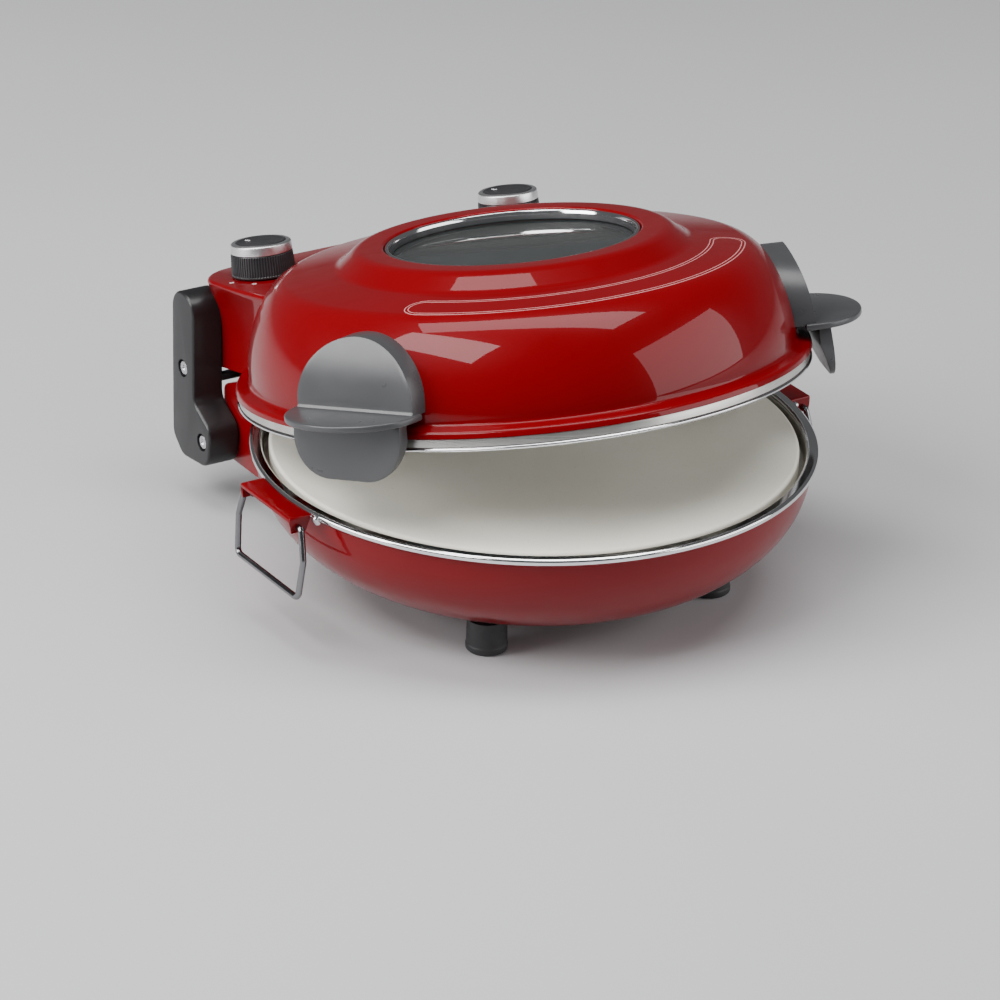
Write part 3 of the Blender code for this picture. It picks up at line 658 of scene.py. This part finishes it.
def build_pan():
    lip = fillet(
        [
            (0.1643, 0.0829, 0), (0.1664, 0.0838, 0.0006), (0.1668, 0.0853, 0.0005), (0.1681, 0.0853, 0.0007),
            (0.1681, 0.0834, 0.0008), (0.1668, 0.0823, 0.0008), (0.1656, 0.0812, 0),
        ],
        steps=5,
    )
    profile = list(reversed(pan_curve(SHEET))) + lip + pan_curve(0.0)[1:]
    add_piece("pan", turned_mesh("pan", profile, closed=False), PAN, "base", "red_paint", ["base_pan"])


def build_tray():
    ledge = STONE_LOW.z - 0.0003
    tray = fillet(
        [
            (0.0, 0.0590, 0), (0.1300, 0.0590, 0.004), (0.1380, 0.0618, 0.003), (0.1490, ledge, 0.002),
            (0.1608, ledge, 0.002), (0.1615, 0.0848, 0.001), (0.1662, 0.0848, 0), (0.1662, 0.0841, 0),
            (0.1625, 0.0841, 0), (0.1621, ledge - 0.001, 0), (0.1494, ledge - 0.001, 0),
            (0.1302, 0.0580, 0), (0.0, 0.0580, 0),
        ],
    )
    mesh = turned_mesh("tray", tray, closed=False)
    add_piece("tray", mesh, PAN, "base", "polished_steel", ["base_reflector_tray"])


def build_base_rings():
    outer = RING_RADIUS
    ring = fillet(
        [
            (0.1617, 0.0851, 0.0003), (0.1618, 0.0862, 0.001), (0.1630, 0.0873, 0.0012),
            (0.1674, 0.0873, 0.0016), (outer, 0.0862, 0.0016), (outer, 0.0838, 0.0002),
            (outer - 0.0006, 0.0838, 0.0002), (outer - 0.0006, 0.0856, 0.0004), (0.1664, 0.0856, 0.0002),
            (0.1661, 0.0851, 0.0002),
        ],
        closed=True, steps=5,
    )
    add_piece("base_ring", turned_mesh("base_ring", ring), PAN, "base", "chrome", ["base_rim_ring"])
    edge = 0.0022
    low, high = STONE_LOW.z, STONE_HIGH.z
    stone = fillet(
        [(0.0, high, 0), (STONE_RADIUS, high, edge), (STONE_RADIUS, low, edge / 2), (0.0, low, 0)], steps=6
    )
    add_piece("stone", turned_mesh("stone", stone, closed=False), PAN, "base", "stone", ["pizza_stone"])


def element_path(radius, height, leg_end):
    """An open ring whose two ends turn along Z to the terminals."""
    half_gap, bend = 0.018, 0.006
    start = math.degrees(math.asin(half_gap / radius))
    ring = arc((0, 0), radius, 90 + start, 450 - start, 96)
    turn_y = ring[0][1]
    ends = []
    for x, near in ((-half_gap, ring[6]), (half_gap, ring[-7])):
        leg = [(x, turn_y, leg_end, 0), (x, turn_y, height, bend), (*near, height, 0)]
        ends.append(round_path(leg, steps=6))
    return ends[0][:-1] + [Vector((x, y, height)) for x, y in ring[7:-7]] + ends[1][::-1]


def build_elements():
    lower = tube_mesh("lower_element", element_path(0.108, 0.0670, 0.0480), ELEMENT_TUBE_RADIUS, sides=16)
    add_piece("lower_element", lower, PAN, "base", "element_sheath", ["lower_heating_element"])
    upper = tube_mesh("upper_element", element_path(0.118, 0.0520, 0.0690), ELEMENT_TUBE_RADIUS, sides=16)
    add_piece("upper_element", upper, LID, "lid", "element_sheath", ["upper_heating_element"])


def build_feet():
    """Turned rubber feet with a rounded sole and a fixing recess, run up into the bowl."""
    for depth in ("front", "rear"):
        for side, _ in SIDES:
            node = f"foot_{depth}_{side}"
            low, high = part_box(node)
            radius = (high.x - low.x) / 2
            top = high.z - 0.002
            foot = fillet(
                [
                    (0.0, 0.0030, 0), (0.0035, 0.0030, 0.0004), (0.0040, 0.0, 0.0006), (radius, 0.0, 0.0022),
                    (radius, 0.0040, 0.001), (radius - 0.0004, 0.0050, 0.001), (radius - 0.0006, top, 0),
                    (0.0, top, 0),
                ],
                steps=5,
            )
            place = Matrix.Translation(((low.x + high.x) / 2, (low.y + high.y) / 2, 0.0))
            mesh = turned_mesh(node, foot, closed=False, steps=64)
            add_piece(f"{node}_turned", mesh, place, "base", "foot_rubber", [node])


def build_bails():
    middle = (BRACKET_FRONT_Y + BRACKET_REAR_Y) / 2
    for side, sign in SIDES:
        leg = [
            (-0.0205, 0.0, 0), (-0.0296, 0.0, 0.0024), (-0.0316, -0.0060, 0.006), (-0.0350, -0.0180, 0.006),
            (-0.0326, -0.0420, 0.0042),
        ]
        corners = [(0.0, y, z, radius) for y, z, radius in leg]
        corners += [(0.0, 2 * middle - y, z, radius) for y, z, radius in reversed(leg)]
        wire = tube_mesh(f"bail_{side}", round_path(corners), BAIL_WIRE_RADIUS, sides=20)
        swing = Matrix.Rotation(-sign * BAIL_SWING, 4, "Y")
        place = PAN @ Matrix.Translation((sign * BAIL_X, 0, BAIL_Z)) @ swing
        body, node = f"bail_{side}", f"bail_wire_{side}"
        add_piece(f"{body}_bent", wire, place, body, "chrome", [node], BAIL_WIRE_PAINTED_DARK)


def build_bail_bracket(side, sign):
    """A pressed plate against the lip: flat top, outer flange and two end tabs, on soft folds."""
    top, low = 0.0858, 0.0763
    seat = RING_RADIUS + 0.0003
    span = BRACKET_REAR_Y - BRACKET_FRONT_Y
    ys = [BRACKET_FRONT_Y + span * step / 12 for step in range(13)]
    inner = [(math.sqrt(seat ** 2 - y ** 2), y) for y in ys]
    plan = inner + [(BRACKET_OUTER_X, BRACKET_REAR_Y), (BRACKET_OUTER_X, BRACKET_FRONT_Y)]
    shape = bmesh.new()
    upper = [shape.verts.new((sign * x, y, top)) for x, y in plan]
    shape.faces.new(upper)
    outer = sign * BRACKET_OUTER_X
    lip = [shape.verts.new((outer, y, top - 0.0024)) for y in (BRACKET_REAR_Y, BRACKET_FRONT_Y)]
    shape.faces.new((upper[-2], upper[-1], lip[1], lip[0]))
    for root, corner, edge, y in (
        (upper[len(ys) - 1], upper[-2], lip[0], BRACKET_REAR_Y),
        (upper[0], upper[-1], lip[1], BRACKET_FRONT_Y),
    ):
        foot = [shape.verts.new((outer - sign * inset, y, low)) for inset in (0.0014, 0.0110)]
        shape.faces.new((root, corner, edge, *foot))
    mesh = finish_mesh(f"bracket_{side}", shape)
    piece = add_piece(f"bracket_{side}", mesh, PAN, "base", "red_paint", [f"bail_bracket_{side}"])
    bevel = piece.modifiers.new("folds", "BEVEL")
    bevel.width = 0.0011
    bevel.segments = 4
    solid = piece.modifiers.new("sheet", "SOLIDIFY")
    solid.thickness = 0.0014
    solid.offset = -1.0
    apply_modifiers(piece)
    build_rivet(side, sign)


def build_rivet(side, sign):
    """The domed rivet on the lip beside the bracket's front tab."""
    y = BRACKET_FRONT_Y - 0.0050
    x = sign * math.sqrt((RING_RADIUS + 0.0008) ** 2 - y ** 2)
    size, root = 0.0021, -0.0030
    dome = [(0.0, 0.0016)] + arc((0, 0), size, 8, 80, 6)[::-1] + [(size, root), (0.0, root)]
    mesh = turned_mesh("rivet", dome, closed=False, steps=24)
    place = PAN @ Matrix.Translation((x, y, 0.0845)) @ Matrix.Rotation(sign * math.radians(35), 4, "Y")
    add_piece(f"rivet_{side}", mesh, place, "base", "screw_steel")


def build_rear_bracket():
    """The folded cover behind the pan that carries the hinge pins: its rear top edge slopes down."""
    low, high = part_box("base_rear_bracket")
    half = high.x
    rear = high.y - PAN_AXIS_Y
    wall = 0.0015
    outside = fillet(
        [
            (0.080, low.z, 0), (rear, low.z, 0), (rear, 0.0750, 0.0050), (0.1580, high.z, 0.0060),
            (0.080, high.z, 0),
        ],
        closed=True, steps=6,
    )
    inside = fillet(
        [
            (0.070, low.z - 0.01, 0), (rear - wall, low.z - 0.01, 0), (rear - wall, 0.0740, 0.0040),
            (0.1577, high.z - wall, 0.0050), (0.070, high.z - wall, 0),
        ],
        closed=True, steps=6,
    )
    mesh = slab_mesh("rear_bracket", outside, -half, half, 0.0020, plane="YZ", steps=5)
    space = slab_mesh("bracket_space", inside, wall - half, half - wall, 0.0008, plane="YZ")
    reach = RING_RADIUS + 0.0002
    pan = turned_mesh(
        "pan_space",
        [(0.0, 0.10), (reach, 0.10), (reach, 0.0836), (0.1676, 0.0824)] + pan_curve(-0.0002),
        closed=False,
    )
    piece = add_piece("rear_bracket", mesh, PAN, "base", "red_paint", ["base_rear_bracket"])
    carve(piece, space, pan)


def build_gland():
    low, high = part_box("cable_gland")
    profile = fillet(
        [
            (0.0026, -0.0045, 0), (0.0026, 0.0140, 0.0003), (0.0038, 0.0140, 0.0004),
            (0.0050, 0.0040, 0.0005), (0.0070, 0.0036, 0.0006), (0.0070, 0.0003, 0.0003),
            (0.0046, 0.0003, 0), (0.0046, -0.0045, 0),
        ],
        closed=True, steps=4,
    )
    middle = (low + high) / 2
    place = Matrix.Translation((middle.x, high.y - 0.0140, middle.z)) @ Matrix.Rotation(-math.pi / 2, 4, "X")
    add_piece("gland", turned_mesh("gland", profile, steps=48), place, "base", "seal", ["cable_gland"])


# ---------------------------------------------------------------- lid
def lid_curve():
    """The lid's outside, from the window's edge to the lip."""
    crown = fillet(
        [
            (0.0760, 0.0836, 0), (0.0766, 0.0861, 0.0014), (0.0925, 0.0861, 0.011), (0.1048, 0.0760, 0.009),
            (0.1120, 0.0750, 0),
        ],
        steps=10,
    )
    shoulder = bezier((0.1340, 0.0719), (0.1492, 0.0698), (0.1626, 0.0421), (0.1626, 0.0170), steps=40)
    rim = [(0.1626, 0.0165, 0), (0.1627, 0.0134, 0.0045), (0.1706, 0.0116, 0.0030)]
    return crown + shoulder + fillet(rim + [(LID_LIP_RADIUS, 0.0078, 0)], steps=8)


def build_lid_shell():
    outside = lid_curve()
    inside = list(reversed(offset(outside, SHEET)))
    add_piece("lid_dome", turned_mesh("lid_dome", outside + inside), LID, "lid", "red_paint", ["lid_shell"])


def lid_surface(radius):
    """Height of the lid's outside at that distance from its axis, on the sloped annulus."""
    outside = lid_curve()
    for first, second in zip(outside, outside[1:]):
        if first[0] <= radius <= second[0] and second[0] > first[0]:
            share = (radius - first[0]) / (second[0] - first[0])
            return first[1] + share * (second[1] - first[1])
    return outside[-1][1]


def pill_outline(inner, outer, first, last):
    """A closed band between two radii and two angles in degrees, with half-round ends: (radius, angle)."""
    middle = (inner + outer) / 2
    half = (outer - inner) / 2
    spread = math.degrees(half / middle)
    points = []
    for side, start, end in ((-1, first, last), (1, last, first)):
        points += [(middle + side * half, start + (end - start) * step / 160) for step in range(161)]
        for step in range(1, 20):
            angle = math.pi * (step / 20 - 0.5)
            points.append((middle - side * half * math.sin(angle), end - side * spread * math.cos(angle)))
    return points


def build_lid_lines():
    """Two fine printed lines, one inside the other, round an empty band on the front of the annulus."""
    half, lift = 0.00028, 0.00005
    for number, (inner, outer) in enumerate(((0.1158, 0.1362), (0.1178, 0.1342)), 1):
        rows = []
        for side, rise in ((-half, -lift), (half, -lift), (half, lift), (-half, lift), (-half, -lift)):
            row = []
            for radius, degrees in pill_outline(inner + side, outer - side, -146.0, -34.0):
                angle = math.radians(degrees)
                row.append((radius * math.cos(angle), radius * math.sin(angle), lid_surface(radius) + rise))
            rows.append(row)
        mesh = loft_mesh("lid_line", rows, cap_start=False, cap_end=False)
        add_piece(f"lid_line_{number}", mesh, LID, "lid", "red_paint", material=LID_PRINT)


def build_lid_reflector():
    outer = fillet(
        [
            (0.0678, 0.0742, 0), (0.0940, 0.0742, 0.004), (0.1005, 0.0690, 0.003), (0.1045, 0.0624, 0.003),
            (0.1330, 0.0622, 0.004), (0.1430, 0.0585, 0.012), (0.1560, 0.0330, 0.03), (0.1590, 0.0074, 0.001),
            (0.1697, 0.0074, 0.0004), (0.1697, 0.0026, 0),
        ],
        steps=6,
    )
    inner = fillet(
        [
            (0.1590, 0.0026, 0.0003), (0.1550, 0.0320, 0.03), (0.1422, 0.0576, 0.012),
            (0.1326, 0.0613, 0.004), (0.1039, 0.0615, 0.003), (0.0998, 0.0684, 0.003),
            (0.0937, 0.0734, 0.004), (0.0678, 0.0734, 0),
        ],
        steps=6,
    )
    mesh = turned_mesh("lid_liner", outer + inner)
    add_piece("lid_liner", mesh, LID, "lid", "polished_steel", ["lid_reflector"])


def build_lid_ring():
    ring = fillet(
        [
            (0.1640, 0.0, 0.0004), (0.1700, 0.0, 0.0009), (0.1710, 0.0012, 0.0008), (0.1700, 0.0023, 0.0008),
            (0.1640, 0.0023, 0.0004),
        ],
        closed=True, steps=5,
    )
    add_piece("lid_ring", turned_mesh("lid_ring", ring), LID, "lid", "chrome", ["lid_rim_ring"])


def build_window():
    bezel = fillet(
        [
            (0.0730, 0.0800, 0), (0.0729, 0.0832, 0.0003), (0.0735, 0.0853, 0.0008), (0.0756, 0.0853, 0.0010),
            (0.0758, 0.0800, 0),
        ],
        closed=True, steps=5,
    )
    add_piece("bezel", turned_mesh("bezel", bezel), LID, "lid", "chrome", ["window_bezel"])
    glass = fillet(
        [(0.0, 0.0797, 0), (GLASS_RADIUS, 0.0797, 0.0008), (GLASS_RADIUS, 0.0767, 0.0008), (0.0, 0.0767, 0)],
        steps=4,
    )
    add_piece("pane", turned_mesh("pane", glass, closed=False), LID, "lid", "window_glass", ["window_glass"])
    seal = fillet(
        [(0.0678, 0.0764, 0.0005), (0.0748, 0.0764, 0), (0.0748, 0.0745, 0), (0.0678, 0.0745, 0.0005)],
        closed=True,
    )
    add_piece("seal", turned_mesh("seal", seal), LID, "lid", "seal", ["window_gasket"])
    lip = fillet(
        [(0.0714, 0.0799, 0.0003), (0.0722, 0.0831, 0.0004), (0.0728, 0.0831, 0.0002), (0.0728, 0.0799, 0)],
        closed=True, steps=4,
    )
    add_piece("seal_lip", turned_mesh("seal_lip", lip), LID, "lid", "seal")


def housing_plan():
    """Half of the housing's lower plan, from the dome round the rear corner to the middle."""
    half = HOUSING_HALF_WIDTH
    rear = HOUSING_REAR_Y - 0.004
    return fillet([(half, HOUSING_FRONT_Y, 0), (half, rear, 0.008), (0.0, rear, 0)], steps=16)


def lobe_plan():
    """Half of the top's plan: swept side, lobe round the knob, straight rear edge."""
    centre = (KNOB_X, HOUSING_REAR_Y - LOBE_RADIUS)
    side = bezier((0.1178, HOUSING_FRONT_Y), (0.1195, 0.1080), (0.1207, 0.1330), (0.1188, 0.1560), steps=16)
    return side + arc(centre, LOBE_RADIUS, 2, 90, 36) + [(0.0, HOUSING_REAR_Y)]


def build_housing():
    """Control housing: its walls flare in a hollow curve from a box plan to the lobed top.

    Its front isn't cut by the dome, so it shows inside the open lid.
    """
    columns, levels, rim_steps = 90, 28, 6
    low = resample(housing_plan(), columns)
    high = resample(lobe_plan(), columns)
    edge = 0.0022
    wall_top = HOUSING_TOP_Z - edge
    rows = []
    for level in range(levels + 1):
        height = wall_top * level / levels
        share = (height / wall_top) ** 3.0
        half = [Vector(a).lerp(Vector(b), share) for a, b in zip(low, high)]
        rows.append([(p.x, p.y, height) for p in half] + [(-p.x, p.y, height) for p in reversed(half[:-1])])
    rim = [(x, y) for x, y, _ in rows[-1]]
    for step in range(1, rim_steps + 1):
        angle = math.pi / 2 * step / rim_steps
        inset = edge * (1 - math.cos(angle))
        rows.append([(x, y, wall_top + edge * math.sin(angle)) for x, y in offset(rim, -inset)])
    mesh = loft_mesh("housing", rows, cap_start=False, closed_rows=False)
    add_piece("housing", mesh, LID, "lid", "red_paint", ["rear_housing"])


def build_housing_cover():
    """The sheet that closes the housing from below.  Its front isn't cut by the dome either."""
    corner = 0.0056
    half = HOUSING_HALF_WIDTH - 0.0024
    front, rear = 0.128, HOUSING_REAR_Y - 0.0064
    corners = [(half, front, 0), (half, rear, corner), (-half, rear, corner), (-half, front, 0)]
    mesh = slab_mesh("housing_floor", fillet(corners, closed=True), 0.0003, 0.0018, 0.0004)
    add_piece("housing_floor", mesh, LID, "lid", "plated_steel", ["housing_bottom_cover"])


def build_control(name, sign):
    """A ridged knob with a spun band and a flat cap, on its spindle."""
    place = LID @ Matrix.Translation((sign * KNOB_X, KNOB_Y, HOUSING_TOP_Z))
    body = f"{name}_dial"

    def ridged(step, radius, height):
        groove = step % 4 in (2, 3) and 0.0022 < height < 0.0142 and radius > 0.0160
        return radius - (0.0005 if groove else 0.0)

    skirt = fillet(
        [
            (0.0035, 0.0008, 0), (KNOB_RADIUS + 0.0005, 0.0008, 0.0007),
            (KNOB_RADIUS + 0.0004, 0.0024, 0.0003), (KNOB_RADIUS - 0.0003, 0.0140, 0.0002),
            (KNOB_RADIUS - 0.0006, 0.0147, 0), (0.0035, 0.0147, 0),
        ],
        steps=4,
    )
    halved = [point for ends in zip(skirt, skirt[1:]) for point in resample(ends, 2)[:-1]]
    mesh = turned_mesh("skirt", halved + [skirt[-1]], steps=KNOB_RIDGES * 4, ridges=ridged)
    add_piece(f"{name}_skirt", mesh, place, body, "knob_plastic", [f"{name}_knob"])
    band = fillet(
        [
            (0.0154, 0.0150, 0), (KNOB_RADIUS - 0.0004, 0.0150, 0.0003), (0.0184, 0.0203, 0.0008),
            (0.0175, 0.0209, 0.0005), (0.0154, 0.0209, 0),
        ],
        closed=True, steps=4,
    )
    mesh = turned_mesh("band", band, steps=96)
    add_piece(f"{name}_band", mesh, place, body, "knob_band", [f"{name}_knob_band"])
    cap = fillet(
        [
            (0.0, 0.0208, 0), (0.0122, 0.0208, 0.0010), (0.0136, 0.0213, 0.0006), (0.0149, 0.0213, 0.0006),
            (0.0153, 0.0204, 0), (0.0153, 0.0151, 0), (0.0, 0.0151, 0),
        ],
        steps=4,
    )
    mesh = turned_mesh("cap", cap, closed=False, steps=96)
    add_piece(f"{name}_cap", mesh, place, body, "knob_plastic", [f"{name}_knob_cap"])
    inner, outer, half, corner = 0.0075, 0.0118, 0.0005, 0.0004
    plan = [(inner, -half, corner), (outer, -half, corner), (outer, half, corner), (inner, half, corner)]
    pointer = slab_mesh("pointer", fillet(plan, closed=True), 0.0206, 0.0211, 0.0001)
    turn = Matrix.Rotation(math.radians(115), 4, "Z")
    add_piece(f"{name}_pointer", pointer, place @ turn, body, "knob_band")
    build_dial_marks(name, place)


def build_dial_marks(name, place):
    """Small open rings printed round the front of the dial."""
    spread, size, line, low, high = 0.0246, 0.0014, 0.0006, -0.00005, 0.0001
    rim = [(size - line, low), (size - line, high), (size, high), (size, low)]
    for step in range(5):
        angle = math.radians(-171 + 38.5 * step)
        mark = turned_mesh("dial_mark", rim, steps=24)
        mark.transform(Matrix.Translation((spread * math.cos(angle), spread * math.sin(angle), 0.0)))
        add_piece(f"{name}_mark_{step + 1}", mark, place, "lid", "red_paint", material=DIAL_PRINT)


# ---------------------------------------------------------------- hinge arms
def arm_outline():
    """The arm's side view about the hinge pin: (y, z)."""
    return fillet(
        [
            (0.0107, 0.0903, 0.0125), (0.0371, 0.0903, 0.0125), (0.0371, -0.0070, 0.0110),
            (0.0250, -0.0180, 0.0100), (-0.0080, -0.0150, 0.0110), (-0.0105, 0.0105, 0.0100),
            (0.0107, 0.0225, 0.0100),
        ],
        closed=True, steps=10,
    )


def screw_mesh(name, shank, length):
    """A pan-head screw along -Z with a dished socket in its head."""
    profile = fillet(
        [
            (0.0, -0.0012, 0), (0.0014, -0.0012, 0.0002), (0.0019, 0.0, 0.0003), (0.0042, 0.0, 0.0009),
            (0.0048, -0.0012, 0.0006), (0.0048, -0.0025, 0.0002), (shank, -0.0025, 0), (shank, -length, 0),
            (0.0, -length, 0),
        ],
        steps=4,
    )
    return turned_mesh(name, profile, closed=False, steps=48)


def build_arm(side, sign):
    low, high = sorted((sign * ARM_INNER_X, sign * ARM_OUTER_X))
    mesh = slab_mesh(f"arm_{side}", arm_outline(), low, high, 0.0016, plane="YZ", steps=5)
    arm = add_piece(f"arm_{side}", mesh, ARM, "lid", "arm_plastic", [f"hinge_arm_{side}"])
    ends = sorted((sign * (ARM_OUTER_X - SCREW_RECESS), sign * (ARM_OUTER_X + 0.004)))
    circles = [arc(centre, 0.0056, 0, 354, 59) for centre in ((0.0, 0.0), ARM_SCREW)]
    carve(arm, *(slab_mesh("recess", circle, *ends, 0.0003, plane="YZ") for circle in circles))
    facing = Matrix.Rotation(sign * math.pi / 2, 4, "Y")
    for node, (y, z), body, shank, length in (
        (f"hinge_pin_{side}", (0.0, 0.0), "base", 0.0030, 0.0320),
        (f"arm_screw_{side}", ARM_SCREW, "lid", 0.0020, 0.0240),
    ):
        out = sign * (ARM_OUTER_X - SCREW_RECESS + 0.0028)
        place = ARM @ Matrix.Translation((out, y, z)) @ facing
        add_piece(f"{node}_turned", screw_mesh(node, shank, length), place, body, "screw_steel", [node])


def build_rod():
    low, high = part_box("hinge_rod")
    middle = (low + high) / 2
    radius = (high.z - low.z) / 2
    half = (high.x - low.x) / 2
    corners = [(0.0, -half, 0), (radius, -half, 0.0005), (radius, half, 0.0005), (0.0, half, 0)]
    profile = fillet(corners, steps=4)
    place = Matrix.Translation(middle) @ Matrix.Rotation(math.pi / 2, 4, "Y")
    mesh = turned_mesh("cross_rod", profile, closed=False, steps=40)
    add_piece("cross_rod", mesh, place, "lid", "rod_black", ["hinge_rod"])


# ---------------------------------------------------------------- handles
LEDGE_TOP_Z = 0.0225
LEDGE_LOW_Z = 0.0185


def handle_face(height):
    """Radius of the handle's face at that height: upright, then leaning in towards the top."""
    lean = max(height - LEDGE_TOP_Z, 0.0)
    bead = max(0.0018 - lean, 0.0) / 0.0018
    return 0.1694 - 5.0 * lean ** 2 + 0.0010 * bead ** 2


def build_handle(side, turn):
    place = LID @ Matrix.Rotation(turn, 4, "Z")
    half = HANDLE_HALF_WIDTH
    rows = [(LEDGE_TOP_Z + rise, half) for rise in (-0.001, 0.0005, 0.001, 0.0018)]
    for step in range(1, 45):
        angle = math.pi / 2 * step / 45
        rows.append((0.0260 + 0.0376 * math.sin(angle), half * math.cos(angle)))
    mesh = panel_mesh(f"grip_{side}", rows, handle_face, lambda height: 0.1440)
    soften(add_piece(f"grip_{side}", mesh, place, "lid", "grip_plastic", [f"handle_{side}"]), 0.0007)
    build_ledge(side, place)
    build_apron(side, place)


def build_ledge(side, place):
    """The finger ledge: half an oval that stands out from the grip."""
    root, start, half = 0.1640, 0.1660, 0.0425
    plan = [(root, -half)]
    for step in range(49):
        angle = math.pi * (step / 48 - 0.5)
        reach = (LEDGE_REACH - start) * max(math.cos(angle), 0.0) ** 0.8
        plan.append((start + reach, half * math.sin(angle)))
    plan.append((root, half))
    mesh = slab_mesh(f"ledge_{side}", plan, LEDGE_LOW_Z, LEDGE_TOP_Z, 0.0012, steps=4)
    add_piece(f"ledge_{side}", mesh, place, "lid", "grip_plastic")


def build_apron(side, place):
    """The grip's lower flap, in front of the rims when the lid is shut."""
    half, corner = 0.0370, 0.0240
    rows = [(LEDGE_LOW_Z + 0.001, half), (0.0150, half), (0.0095, half)]
    for step in range(1, 25):
        angle = math.pi / 2 * step / 24
        rows.append((0.0090 - corner * math.sin(angle), half - corner + corner * math.cos(angle)))

    def front(height):
        return 0.1790 + (0.0200 - height) * 0.085

    def back(height):
        return max(0.1722, 0.1722 + (0.0078 - height) * 0.342)

    mesh = panel_mesh(f"apron_{side}", rows, front, back)
    apron = add_piece(f"apron_{side}", mesh, place, "lid", "grip_plastic")
    soften(apron, 0.0008)


# ---------------------------------------------------------------- stage
CAMERA_AZIMUTH = math.radians(-32.26)
CAMERA_ELEVATION = math.radians(24.9)
CAMERA_ROLL = math.radians(1.30)
CAMERA_DISTANCE = 3.064
CAMERA_AIM = Vector((-0.0164, -0.0095, 0.0458))
CAMERA_LENS = 184.75
LIGHT_AIM = Vector((0, 0, 0.1))


def build_camera():
    data = bpy.data.cameras.new("camera")
    data.sensor_width = 36.0
    data.lens = CAMERA_LENS
    data.clip_end = 50.0
    camera = new_object("camera", data)
    turn = (
        Matrix.Rotation(CAMERA_AZIMUTH, 4, "Z")
        @ Matrix.Rotation(math.pi / 2 - CAMERA_ELEVATION, 4, "X")
        @ Matrix.Rotation(CAMERA_ROLL, 4, "Z")
    )
    back = turn @ Vector((0, 0, 1))
    camera.matrix_world = Matrix.Translation(CAMERA_AIM + back * CAMERA_DISTANCE) @ turn
    bpy.context.scene.camera = camera


def build_floor():
    shape = bmesh.new()
    bmesh.ops.create_grid(shape, x_segments=4, y_segments=4, size=8.0)
    mesh = finish_mesh("floor", shape)
    floor = new_object("floor", mesh)
    floor.location.z = -0.0002
    look = Nodes("floor_paper", (0.54, 0.54, 0.55), 0.7)
    look.colour(look.noise(1.5, 2.0), [(0.3, (0.52, 0.52, 0.53)), (0.7, (0.56, 0.56, 0.57))])
    mesh.materials.append(look.material)


def add_light(name, place, size, power):
    """A soft rectangular light aimed at the oven's middle."""
    data = bpy.data.lights.new(name, "AREA")
    data.shape = "RECTANGLE"
    data.size, data.size_y = size
    data.energy = power
    light = new_object(name, data)
    light.location = place
    light.rotation_euler = (LIGHT_AIM - Vector(place)).to_track_quat("-Z", "Y").to_euler()


def build_lights():
    add_light("overhead", (-0.1, -0.1, 2.0), (2.4, 0.8), 42)
    add_light("key", (2.0, -1.95, 0.96), (2.6, 1.9), 52)
    add_light("shoulder", (-1.4, -0.17, 1.66), (1.5, 0.7), 36)
    add_light("side", (-2.1, 0.55, 0.85), (1.3, 0.8), 40)
    world = bpy.data.worlds.new("studio")
    world.use_nodes = True
    world.node_tree.nodes["Background"].inputs["Color"].default_value = (0.80, 0.81, 0.83, 1.0)
    world.node_tree.nodes["Background"].inputs["Strength"].default_value = 0.14
    bpy.context.scene.world = world


# ---------------------------------------------------------------- assembly
def dress_frame():
    """Gives every CAD node that stays in view its slot's material."""
    slots = {entry["node"]: entry["material_slot"] for entry in frame["record"]["subparts"]}
    for name, node in frame["nodes"].items():
        for holder in node.material_slots:
            holder.material = MATERIALS[slots[name]]


def build_oven():
    build_pan()
    build_tray()
    build_base_rings()
    build_elements()
    build_feet()
    build_bails()
    build_rear_bracket()
    build_gland()
    build_lid_shell()
    build_lid_lines()
    build_lid_reflector()
    build_lid_ring()
    build_window()
    build_housing()
    build_housing_cover()
    build_control("thermostat", -1)
    build_control("timer", 1)
    build_rod()
    for side, sign in SIDES:
        build_arm(side, sign)
        build_bail_bracket(side, sign)
    build_handle("right", HANDLE_ANGLE - math.pi / 2)
    build_handle("left", -HANDLE_ANGLE - math.pi / 2)


build_camera()
build_floor()
build_lights()
dress_frame()
build_oven()
